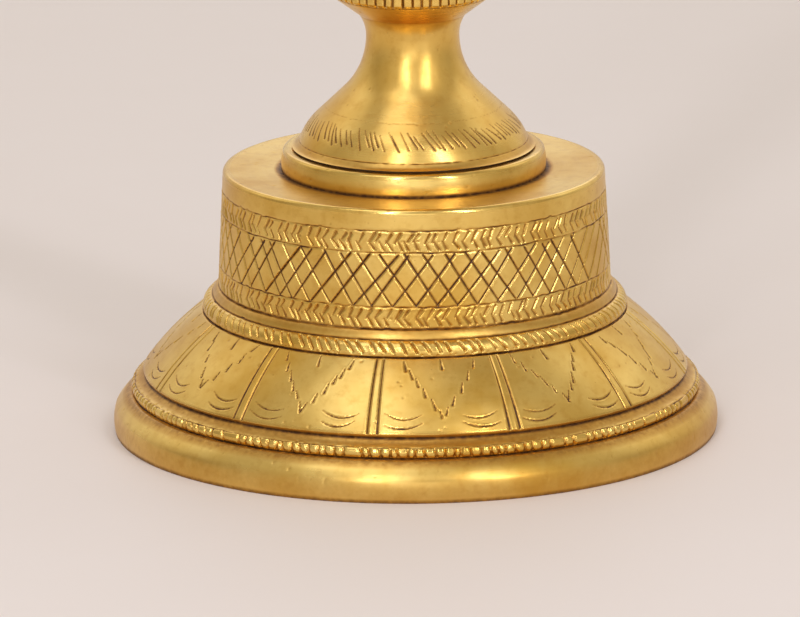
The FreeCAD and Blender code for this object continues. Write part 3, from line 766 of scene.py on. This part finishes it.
def engrave_knop(surface, rng):
    at = surface.at
    belly = at["belly"]
    ring_lines(surface, rng, (belly - 1.8, belly + 1.8), 0.22, 0.06, 0.03)
    short_strokes(surface, rng, belly - 1.7, belly + 1.7, 60, 1.4, 0.55, 0.2)
    ring_lines(surface, rng, (at["neck_low"], at["neck_high"]))
    knurling(surface, rng, at["ring"] + 0.9, at["ring"] + 4.6, 44, 0.9, 0.4)


def engrave_column(surface, rng):
    at = surface.at
    knurling(surface, rng, at["ring"] + 0.8, at["ring_top"] - 0.8, 40, 0.9, 0.4)
    for label, side in (("shaft_low", 1.0), ("ring_low", -1.0), ("shaft_high", 1.0), ("cap_low", -1.0)):
        ring_lines(surface, rng, (at[label] + 2.0 * side, at[label] + 3.4 * side), 0.2, 0.05, 0.02)
    ring_lines(surface, rng, (at["foot_top"], at["cap"]))
    short_strokes(surface, rng, at["shaft_low"] + 4.0, at["shaft_low"] + 9.0, 30, 1.6, 0.5, 0.16)
    short_strokes(surface, rng, at["cap_low"] - 9.0, at["cap_low"] - 4.0, 26, 1.6, 0.5, 0.16)


def engrave_upper_knop(surface, rng):
    at = surface.at
    belly = 0.5 * (at["belly"] + at["belly_high"])
    ring_lines(surface, rng, (belly - 1.6, belly + 1.6), 0.2, 0.05, 0.03)
    short_strokes(surface, rng, belly - 1.5, belly + 1.5, 52, 1.2, 0.5, 0.18)
    ring_lines(surface, rng, (at["belly_low"], at["neck"]))


def engrave_socket(surface, rng):
    at = surface.at
    knurling(surface, rng, at["edge_low"] + 0.2, at["edge_high"] - 0.2, 72, 1.0, 0.4)
    ring_lines(surface, rng, (at["foot_top"],))
    ring_lines(surface, rng, (at["plate_low"] - 2.0, at["plate_low"] - 3.5), 0.18, 0.05)


def engrave_post(surface, rng):
    at = surface.at
    belly = at["pot"]
    ring_lines(surface, rng, (belly - 1.4, belly + 1.4), 0.2, 0.05, 0.02)
    short_strokes(surface, rng, belly - 1.3, belly + 1.3, 44, 1.0, 0.5, 0.16)
    knurling(surface, rng, at["ring"] + 0.6, at["ring_top"] - 0.4, 34, 0.8, 0.35)
    ring_lines(surface, rng, (at["foot_top"] + 1.2,), 0.18)
    ring_lines(surface, rng, (at["pot_high"],))


def engrave_spire(surface, rng):
    at = surface.at
    ring_lines(surface, rng, (at["bud"], at["bud"] + 1.6), 0.18, 0.05)
    ring_lines(surface, rng, (at["neck"],), 0.2, 0.03)
    for offset in (3.0, 1.8):
        surface.ring(at["point_low"] - offset, 0.45, 0.14, rng, 0.03)


# Piece, CAD node, body, finish, outline outside and inside, engraving and segments of each section.
UPPER_SECTIONS = [
    ("knop_worked", "knop", "stem", "stem_brass", KNOP_OUTSIDE, KNOP_INSIDE, engrave_knop, 360),
    ("column_worked", "column_shaft", "column", "stem_brass", COLUMN_OUTSIDE, COLUMN_INSIDE,
     engrave_column, 300),
    ("upper_knop_worked", "upper_knop", "column", "stem_brass", UPPER_KNOP_OUTSIDE, UPPER_KNOP_INSIDE,
     engrave_upper_knop, 300),
    ("socket_worked", "bowl_socket", "column", "stem_brass", SOCKET_OUTSIDE, SOCKET_INSIDE,
     engrave_socket, 360),
    ("post_worked", "finial_post", "finial", "finial_brass", POST_OUTSIDE, POST_INSIDE, engrave_post, 300),
    ("spire_worked", "finial_spire", "finial", "finial_brass", SPIRE_OUTSIDE, SPIRE_INSIDE,
     engrave_spire, 240),
]


def upper_sections():
    """The turned sections above the knurled ring, with light ring lines and strokes."""
    for name, node, body, slot, outside, inside, engrave, segments in UPPER_SECTIONS:
        rng = np.random.default_rng(SEED + len(name) + ord(name[0]))
        surface = Surface(outside, segments)
        surface.sway(rng, 0.012)
        engrave(surface, rng)
        scatter_pits(surface, rng, 40, 0.0, surface.level[-1])
        piece = closed_piece(name, surface, inside, seat_of(node), 60)
        settle(piece, node, body, FINIAL_BRASS if slot == "finial_brass" else STEM_BRASS)


# ---- oil bowl

LIP_COUNT = 5
LIP_REACH = 74.0
LIP_ROOT = 50.0
LIP_HALF = 20.0
LIP_TIP = 4.0
BOWL_RADIUS = 60.0
BOWL_WALL = 2.6
BOWL_HOLLOW = BOWL_RADIUS - BOWL_WALL
BOWL_RIM = 27.0
BOWL_FLOOR = 4.0
BOWL_BEND = 42.0
PLATE_RADIUS = 24.0
RIM_ROUND = 0.8
RIM_ANGLES = [20.0, 45.0, 70.0, 90.0, 110.0, 135.0, 160.0]
# Heights at which the outside and the hollow begin to follow the lips.
LIP_FOOT_OUTSIDE = 12.5
LIP_FOOT_INSIDE = 15.5
# Heights of the two turned lines round the bowl.
BOWL_LINES = (23.4, 15.6)


def lip_radius(azimuth, plain, reach, half, tip):
    """How far the bowl reaches at each azimuth: a circle, or a lip with hollow sides and a round tip."""
    step = FULL_TURN / LIP_COUNT
    angle = np.radians(np.abs((azimuth + 0.5 * step) % step - 0.5 * step))
    along = np.linspace(LIP_ROOT, reach, 400)
    share = (reach - along) / (reach - LIP_ROOT)
    round_tip = np.sqrt(np.clip((reach - along) / tip, 0.0, 1.0))
    beside = (tip + (half - tip) * share ** 1.55) * round_tip
    edge_angle = np.arctan2(beside, along)
    edge_radius = np.hypot(along, beside)
    order = np.argsort(edge_angle)
    lip = np.interp(angle, edge_angle[order], edge_radius[order])
    blend = 2.0
    return blend * np.log(np.exp((lip - plain) / blend) * (angle < edge_angle.max()) + 1.0) + plain


def pulled(radius, height, plain, reach, foot_height):
    """Radii round the bowl at one height. They follow the lips more the higher and the wider the ring is."""
    share = np.clip((height - foot_height) / (BOWL_RIM - foot_height), 0.0, 1.0)
    return radius + (reach - plain) * share ** 1.25 * (radius / plain) ** 6


def bowl_outside(azimuth):
    """Radii, height and patina of each ring from the seat up to the rim."""
    belly = edge_points(np.array([PLATE_RADIUS + 1.0, 1.0]), np.array([BOWL_RADIUS, 13.0]), -BOWL_BEND, 1.2)
    side = [(BOWL_RADIUS, height) for height in np.arange(13.0, 26.5, 0.45)]
    reach = lip_radius(azimuth, BOWL_RADIUS, LIP_REACH, LIP_HALF, LIP_TIP)
    rows = []
    for radius, height in [(PLATE_RADIUS, 0.0)] + [tuple(corner) for corner in belly] + side:
        line = sum(0.5 * math.exp(-((height - level) / 0.22) ** 2) for level in BOWL_LINES)
        radii = pulled(radius, height, BOWL_RADIUS, reach, LIP_FOOT_OUTSIDE)
        rows.append((radii - 0.5 * line, height, 1.6 * line))
    return rows, pulled(BOWL_RADIUS, BOWL_RIM, BOWL_RADIUS, reach, LIP_FOOT_OUTSIDE)


def bowl_inside(azimuth):
    """Radii, height and patina of each ring from the rim down to the hole in the floor."""
    side = [(BOWL_HOLLOW, height) for height in np.arange(26.5, 14.0, -0.45)]
    corner = edge_points(np.array([BOWL_HOLLOW, 14.0]), np.array([PLATE_RADIUS, BOWL_FLOOR]), BOWL_BEND, 1.2)
    floor_rows = [(PLATE_RADIUS, BOWL_FLOOR), (16.0, BOWL_FLOOR)]
    reach = lip_radius(azimuth, BOWL_HOLLOW, LIP_REACH - BOWL_WALL, LIP_HALF - 1.9, LIP_TIP - 1.6)
    rows = []
    for radius, height in side + [tuple(point) for point in corner] + floor_rows:
        rows.append((pulled(radius, height, BOWL_HOLLOW, reach, LIP_FOOT_INSIDE), height, 0.25))
    return rows, pulled(BOWL_HOLLOW, BOWL_RIM, BOWL_HOLLOW, reach, LIP_FOOT_INSIDE)


def bowl_rim(outer, inner):
    """The rounded edge from the outer to the inner radii."""
    rows = []
    for angle in np.radians(RIM_ANGLES):
        share = 0.5 - 0.5 * math.cos(angle)
        height = BOWL_RIM - RIM_ROUND + RIM_ROUND * math.sin(angle)
        rows.append((outer + (inner - outer) * share, height, 0.0))
    return rows


def bowl():
    rng = np.random.default_rng(SEED + 9)
    segments = 720
    azimuth = np.arange(segments) * FULL_TURN / segments
    outside, outer_rim = bowl_outside(azimuth)
    inside, inner_rim = bowl_inside(azimuth)
    seat = seat_of("oil_bowl")
    sway = 0.05 * drift(azimuth, rng, 6, 14)
    shell = Shell()
    for radii, height, soot_and_shade in outside + bowl_rim(outer_rim, inner_rim) + inside:
        uneven = radii + sway * (radii > 40.0)
        shell.add(ring_points(uneven, height + seat, np.radians(azimuth)), soot_and_shade)
    for height in (BOWL_FLOOR, 0.0):
        shell.add(ring_points(FIXED_HOLE, height + seat, even_turns(60)), 0.4)
    return settle(shell.finish("bowl_worked"), "oil_bowl", "bowl", BOWL_BRASS)


# ---- threads, nut and washers

def polar_piece(name, rows, coarse, grime_and_shade):
    """A closed mesh from rows of (radii, height); a row of radius 0 is a point on the axis."""
    shell = Shell()
    for radii, height in rows:
        points = ring_points(np.broadcast_to(radii, (coarse,)), height, even_turns(coarse))
        shell.add(points, grime_and_shade, 0.0, np.max(radii) < ON_AXIS)
    return shell.finish(name)


def height_span(node):
    """Heights of a node's underside and top."""
    return [corner.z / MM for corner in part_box(node)]


def threaded_stud(node, body, radius=FIXED_HOLE):
    """A stud with a real right-hand screw thread."""
    segments = 48
    low, high = height_span(node)
    turn = np.arange(segments) / segments
    rows = [(0.0, low)]
    for height in np.linspace(low, high, math.ceil((high - low) / 0.25)):
        phase = ((height - low) / THREAD_PITCH - turn) % 1.0
        tooth = 1.0 - np.abs(2.0 * phase - 1.0)
        chamfer = max(0.0, 0.8 - (height - low), 0.8 - (high - height))
        groove = THREAD_DEPTH * np.clip(1.25 * tooth - 0.12, 0.0, 1.0)
        rows.append((np.minimum(radius - groove, radius - chamfer), height))
    rows.append((0.0, high))
    piece = polar_piece(f"{node}_threaded", rows, segments, 0.3)
    return settle(piece, node, body, THREAD_BRASS)


def nut():
    """Hexagon nut with turned-off corners."""
    segments = 144
    low, high = height_span("base_nut")
    flat = 9.5
    angle = np.arange(segments) * FULL_TURN / segments
    hexagon = flat / np.cos(np.radians((angle + 120.0) % 60.0 - 30.0))
    rows = [(FREE_HOLE, high), (FREE_HOLE, low)]
    tall = high - low
    for height in (0.0, 0.3, 0.6, 0.9, 0.3 * tall, 0.6 * tall, tall - 0.9, tall - 0.6, tall - 0.3, tall):
        cone = flat + 1.75 * min(height, tall - height)
        rows.append((np.minimum(hexagon, cone), low + height))
    piece = polar_piece("nut_worked", rows, segments, 0.35)
    return settle(piece, "base_nut", "foot", THREAD_BRASS)


def washer(node, body, inner, outer):
    """A leather ring with worn edges and a slightly uneven outline."""
    rng = np.random.default_rng(SEED + len(node))
    low, high = height_span(node)
    segments = 240
    uneven = -0.12 * np.abs(drift(np.arange(segments) * FULL_TURN / segments, rng, 9, 40))
    edge = 0.3 * (high - low)
    wide = outer + uneven
    narrow = outer - edge + uneven
    rows = [(inner, low), (narrow, low), (wide, low + edge)]
    rows += [(wide, high - edge), (narrow, high), (inner, high)]
    piece = polar_piece(f"{node}_leather", rows, segments, 0.0)
    return settle(piece, node, body, LEATHER)


# Each stud's body, and each washer's body, inner and outer radius.
STUDS = {
    "stem_stud": "stem",
    "knop_stud": "stem",
    "column_stud": "column",
    "upper_knop_stud": "column",
    "socket_stud": "column",
    "bowl_stud": "bowl",
}
WASHERS = {
    "stem_washer": ("stem_rise", 15.05, 29.5),
    "column_washer": ("column_rise", 5.6, 13.95),
    "bowl_washer": ("bowl_rise", 5.6, 23.0),
    "finial_washer": ("finial_rise", 5.6, 12.5),
}


def fittings():
    for node, body in STUDS.items():
        threaded_stud(node, body)
    threaded_stud("finial_stud", "finial", THIN_HOLE)
    nut()
    for node, (body, inner, outer) in WASHERS.items():
        washer(node, body, inner, outer)


# ---- materials

class Nodes:
    """Short calls that add nodes to a tree. A value that is a socket is linked, any other is set."""

    def __init__(self, tree):
        self.tree = tree

    def feed(self, socket, value):
        if isinstance(value, bpy.types.NodeSocket):
            self.tree.links.new(value, socket)
        else:
            socket.default_value = value

    def add(self, kind, inputs, **settings):
        node = self.tree.nodes.new(kind)
        for name, value in settings.items():
            setattr(node, name, value)
        for name, value in inputs.items():
            self.feed(node.inputs[name], value)
        return node

    def combine(self, operation, first, second):
        return self.add("ShaderNodeMath", {0: first, 1: second}, operation=operation).outputs["Value"]


class Finish(Nodes):
    """A material with one Principled shader."""

    def __init__(self, name):
        self.material = bpy.data.materials.new(name)
        self.material.use_nodes = True
        super().__init__(self.material.node_tree)
        self.shader = self.tree.nodes["Principled BSDF"]
        self.place = self.add("ShaderNodeTexCoord", {}).outputs["Object"]

    def surface(self, name, value):
        """Feeds one socket of the shader."""
        self.feed(self.shader.inputs[name], value)

    def attribute(self, name):
        return self.add("ShaderNodeAttribute", {}, attribute_name=name).outputs["Fac"]

    def noise(self, scale, detail=3.0, roughness=0.55, place=None):
        inputs = {"Vector": place or self.place, "Scale": scale, "Detail": detail, "Roughness": roughness}
        return self.add("ShaderNodeTexNoise", inputs).outputs["Fac"]

    def span(self, value, low, high, to_low=0.0, to_high=1.0):
        """Spreads a value from one range over another, and holds it at the ends."""
        inputs = {"Value": value, "From Min": low, "From Max": high, "To Min": to_low, "To Max": to_high}
        return self.add("ShaderNodeMapRange", inputs, clamp=True).outputs["Result"]

    def blend(self, factor, first, second):
        node = self.add("ShaderNodeMix", {"Factor": factor}, data_type="RGBA")
        colours = [socket for socket in node.inputs if socket.type == "RGBA"]
        self.feed(colours[0], first)
        self.feed(colours[1], second)
        return next(socket for socket in node.outputs if socket.type == "RGBA")

    def turning_place(self, scale):
        """A coordinate that is the same all round the lathe axis, for turning marks."""
        apart = self.add("ShaderNodeSeparateXYZ", {"Vector": self.place}).outputs
        flat = self.add("ShaderNodeCombineXYZ", {"X": apart["X"], "Y": apart["Y"]})
        length = self.add("ShaderNodeVectorMath", {0: flat.outputs["Vector"]}, operation="LENGTH")
        across = self.combine("MULTIPLY", length.outputs["Value"], scale)
        up = self.combine("MULTIPLY", apart["Z"], scale)
        return self.add("ShaderNodeCombineXYZ", {"X": across, "Z": up}).outputs["Vector"]

    def bump(self, height, distance, strength=1.0, before=None):
        inputs = {"Height": height, "Distance": distance, "Strength": strength}
        if before is not None:
            inputs["Normal"] = before
        return self.add("ShaderNodeBump", inputs).outputs["Normal"]


def colour(red, green, blue):
    return (red, green, blue, 1.0)


# Browns for patina and for painted shade: both the dirt in the cuts and the shade painted on the foot's bands
# end in these colours.
PATINA_AND_SHADE_BROWN = colour(0.44, 0.2, 0.03)
PATINA_AND_SHADE_BLACK = colour(0.07, 0.024, 0.004)


def brass(name, light, deep, gloss, dirt_and_shade_amount):
    """Satin brass: two tones in soft patches, faint turning marks, specks and brown patina in the cuts; the
    same browns carry the painted shade of some of the foot's bands.
    """
    finish = Finish(name)
    patches = finish.noise(38.0, 4.0, 0.6)
    mottle = finish.noise(420.0, 4.0, 0.6)
    specks = finish.noise(1500.0, 2.0, 0.5)
    lathe = finish.noise(1.0, 2.0, 0.6, finish.turning_place(2600.0))
    brown = colour(deep[0] * 0.8, deep[1] * 0.64, deep[2] * 0.4)
    tone = finish.blend(finish.span(patches, 0.35, 0.7), colour(*light), colour(*deep))
    tone = finish.blend(finish.span(mottle, 0.5, 0.8, 0.0, 0.4), tone, brown)
    speck = finish.span(specks, 0.72, 0.8, 0.0, 0.4)
    uneven = finish.span(finish.noise(700.0, 3.0), 0.25, 0.75, 0.7 * dirt_and_shade_amount, 1.25 * dirt_and_shade_amount)
    dirt_and_shade = finish.combine("MULTIPLY", finish.attribute("grime_and_shade"), uneven)
    dirt_and_shade = finish.span(finish.combine("MAXIMUM", dirt_and_shade, speck), 0.0, 1.0)
    # Patina and painted shade both darken the tone here, first to brown and then to near black.
    tone = finish.blend(finish.span(dirt_and_shade, 0.0, 0.5, 0.0, 0.8), tone, PATINA_AND_SHADE_BROWN)
    tone = finish.blend(finish.span(dirt_and_shade, 0.4, 0.95), tone, PATINA_AND_SHADE_BLACK)
    finish.surface("Base Color", tone)
    rub = finish.noise(1.0, 3.0, 0.7, finish.turning_place(1500.0))
    rub = finish.combine("MULTIPLY", rub, 0.4)
    mixed = finish.combine("ADD", finish.combine("MULTIPLY", patches, 0.6), rub)
    rough = finish.span(mixed, 0.3, 0.7, gloss - 0.04, gloss + 0.08)
    rough = finish.combine("SUBTRACT", rough, finish.combine("MULTIPLY", finish.attribute("wear"), 0.11))
    rough = finish.combine("ADD", rough, finish.combine("MULTIPLY", dirt_and_shade, 0.25))
    finish.surface("Roughness", rough)
    finish.surface("Metallic", finish.span(dirt_and_shade, 0.4, 1.0, 1.0, 0.4))
    streaks = finish.span(finish.noise(160.0, 2.0), 0.45, 0.6)
    scratch = finish.combine("MULTIPLY", finish.span(lathe, 0.55, 0.8), streaks)
    dents = finish.noise(260.0, 3.0, 0.5)
    normal = finish.bump(scratch, 0.00001, 0.35)
    normal = finish.bump(dents, 0.00004, 0.5, normal)
    normal = finish.bump(specks, 0.00002, 0.3, normal)
    finish.surface("Normal", normal)
    return finish.material


def leather():
    """Dark oiled leather with a fine grain."""
    finish = Finish("oiled_leather")
    grain = finish.noise(2400.0, 5.0, 0.65)
    patches = finish.noise(150.0, 3.0)
    tone = finish.blend(patches, colour(0.055, 0.028, 0.014), colour(0.12, 0.062, 0.03))
    tone = finish.blend(finish.span(grain, 0.45, 0.8), tone, colour(0.03, 0.015, 0.008))
    finish.surface("Base Color", tone)
    finish.surface("Roughness", finish.span(grain, 0.2, 0.8, 0.45, 0.75))
    finish.surface("Normal", finish.bump(grain, 0.00012, 0.7))
    return finish.material


def pale_floor():
    finish = Finish("pale_floor")
    tone = finish.blend(finish.noise(1.2, 2.0), colour(0.77, 0.69, 0.6), colour(0.8, 0.72, 0.63))
    finish.surface("Base Color", tone)
    finish.surface("Roughness", finish.span(finish.noise(30.0), 0.2, 0.8, 0.55, 0.65))
    return finish.material


# ---- floor, light and camera

def floor():
    """A wide plain floor under the lamp."""
    size = 14.0
    mesh = bpy.data.meshes.new("floor")
    corners = [(-size, -size, 0.0), (size, -size, 0.0), (size, size, 0.0), (-size, size, 0.0)]
    mesh.from_pydata(corners, [], [(0, 1, 2, 3)])
    mesh.materials.append(pale_floor())
    plane = bpy.data.objects.new("floor", mesh)
    bpy.context.scene.collection.objects.link(plane)


def facing(place, target, roll=0.0):
    """A turn that looks from a place at a target."""
    back = (Vector(place) - Vector(target)).normalized()
    right = Vector((0.0, 0.0, 1.0)).cross(back).normalized()
    up = back.cross(right)
    turned_right = math.cos(roll) * right - math.sin(roll) * up
    turned_up = math.cos(roll) * up + math.sin(roll) * right
    turn = Matrix((turned_right, turned_up, back)).transposed()
    return turn.to_quaternion()


def soft_light(name, azimuth, elevation, width, tall, power):
    """A rectangular soft light that looks at the foot from a direction."""
    around = math.radians(azimuth)
    rise = math.radians(elevation)
    target = Vector((0.0, 0.0, 0.06))
    away = Vector((math.sin(around) * math.cos(rise), -math.cos(around) * math.cos(rise), math.sin(rise)))
    data = bpy.data.lights.new(name, "AREA")
    data.shape = "RECTANGLE"
    data.size = width
    data.size_y = tall
    data.energy = power
    data.color = LIGHT_TINT
    lamp = bpy.data.objects.new(name, data)
    lamp.location = target + away * LIGHT_DISTANCE
    lamp.rotation_mode = "QUATERNION"
    lamp.rotation_quaternion = facing(lamp.location, target)
    lamp.visible_camera = False
    bpy.context.scene.collection.objects.link(lamp)


LIGHT_DISTANCE = 2.0
LIGHT_TINT = (0.97, 1.0, 1.22)
# Lights: name, azimuth, elevation, width and height in metres, power in watts. Two upright windows in front
# give the twin highlights of turned brass, and broad weak lights all round lift the rest.
LIGHTS = [
    ("window_left", -16.0, 30.0, 0.12, 1.6, 9.0),
    ("window_right", 32.0, 30.0, 0.12, 1.6, 10.0),
    ("front", 0.0, 5.0, 1.0, 0.4, 1.5),
    ("top", -40.0, 70.0, 1.0, 1.0, 4.5),
    ("back_left", -120.0, 40.0, 1.0, 1.0, 1.2),
    ("back_right", 120.0, 40.0, 1.0, 1.0, 1.2),
    ("back", 180.0, 35.0, 1.6, 1.2, 3.5),
]
# How bright the room is towards each side and the ceiling: direction, strength.
ROOM = [
    ((0.0, 1.0, 0.0), 0.65),
    ((1.0, 0.0, 0.0), 0.42),
    ((-1.0, 0.0, 0.0), 0.36),
    ((0.0, -1.0, 0.0), 0.5),
    ((0.0, 0.0, 1.0), 0.28),
]


def room_light(tree):
    """A soft glow from each side, strongest from behind."""
    nodes = Nodes(tree)
    where = nodes.add("ShaderNodeTexCoord", {}).outputs["Generated"]
    total = None
    for direction, strength in ROOM:
        side = tuple(strength * part for part in direction)
        towards = nodes.add("ShaderNodeVectorMath", {0: where, 1: side}, operation="DOT_PRODUCT")
        lit = nodes.combine("MAXIMUM", towards.outputs["Value"], 0.0)
        total = lit if total is None else nodes.combine("ADD", lit, total)
    background = tree.nodes["Background"]
    nodes.feed(background.inputs["Color"], colour(1.0, 0.93, 0.86))
    nodes.feed(background.inputs["Strength"], total)


def studio():
    """Soft lights in a warm, dim room."""
    world = bpy.data.worlds.new("studio")
    world.use_nodes = True
    room_light(world.node_tree)
    bpy.context.scene.world = world
    for light in LIGHTS:
        soft_light(*light)


def film():
    """Plain colour, so that the brass keeps its depth."""
    bpy.context.scene.view_settings.view_transform = "Standard"


def camera():
    """Looks down at the foot from straight in front, close in on the foot and the start of the stem."""
    elevation = math.radians(14.24)
    distance = 2.232
    target = Vector((-0.0037, 0.0, 0.0296))
    place = target + distance * Vector((0.0, -math.cos(elevation), math.sin(elevation)))
    data = bpy.data.cameras.new("camera")
    data.lens = 405.0
    data.sensor_width = 36.0
    data.clip_end = 60.0
    view = bpy.data.objects.new("camera", data)
    view.location = place
    view.rotation_mode = "QUATERNION"
    view.rotation_quaternion = facing(place, target, math.radians(0.5))
    bpy.context.scene.collection.objects.link(view)
    bpy.context.scene.camera = view


# Each brass: its light and its deep tone, roughness and how much patina and painted shade it holds.
STEM_TONES = ((0.85, 0.58, 0.16), (0.7, 0.41, 0.075))
FOOT_BRASS = brass("foot_brass", (0.86, 0.6, 0.17), (0.64, 0.37, 0.06), 0.3, 1.0)
STEM_BRASS = brass("stem_brass", *STEM_TONES, 0.27, 0.9)
BOWL_BRASS = brass("bowl_brass", (0.84, 0.56, 0.15), (0.67, 0.39, 0.065), 0.3, 0.9)
FINIAL_BRASS = brass("finial_brass", *STEM_TONES, 0.27, 0.9)
THREAD_BRASS = brass("thread_brass", (0.7, 0.44, 0.12), (0.5, 0.28, 0.05), 0.38, 1.0)
LEATHER = leather()

foot()
collar()
stem()
upper_sections()
bowl()
fittings()
floor()
studio()
film()
camera()
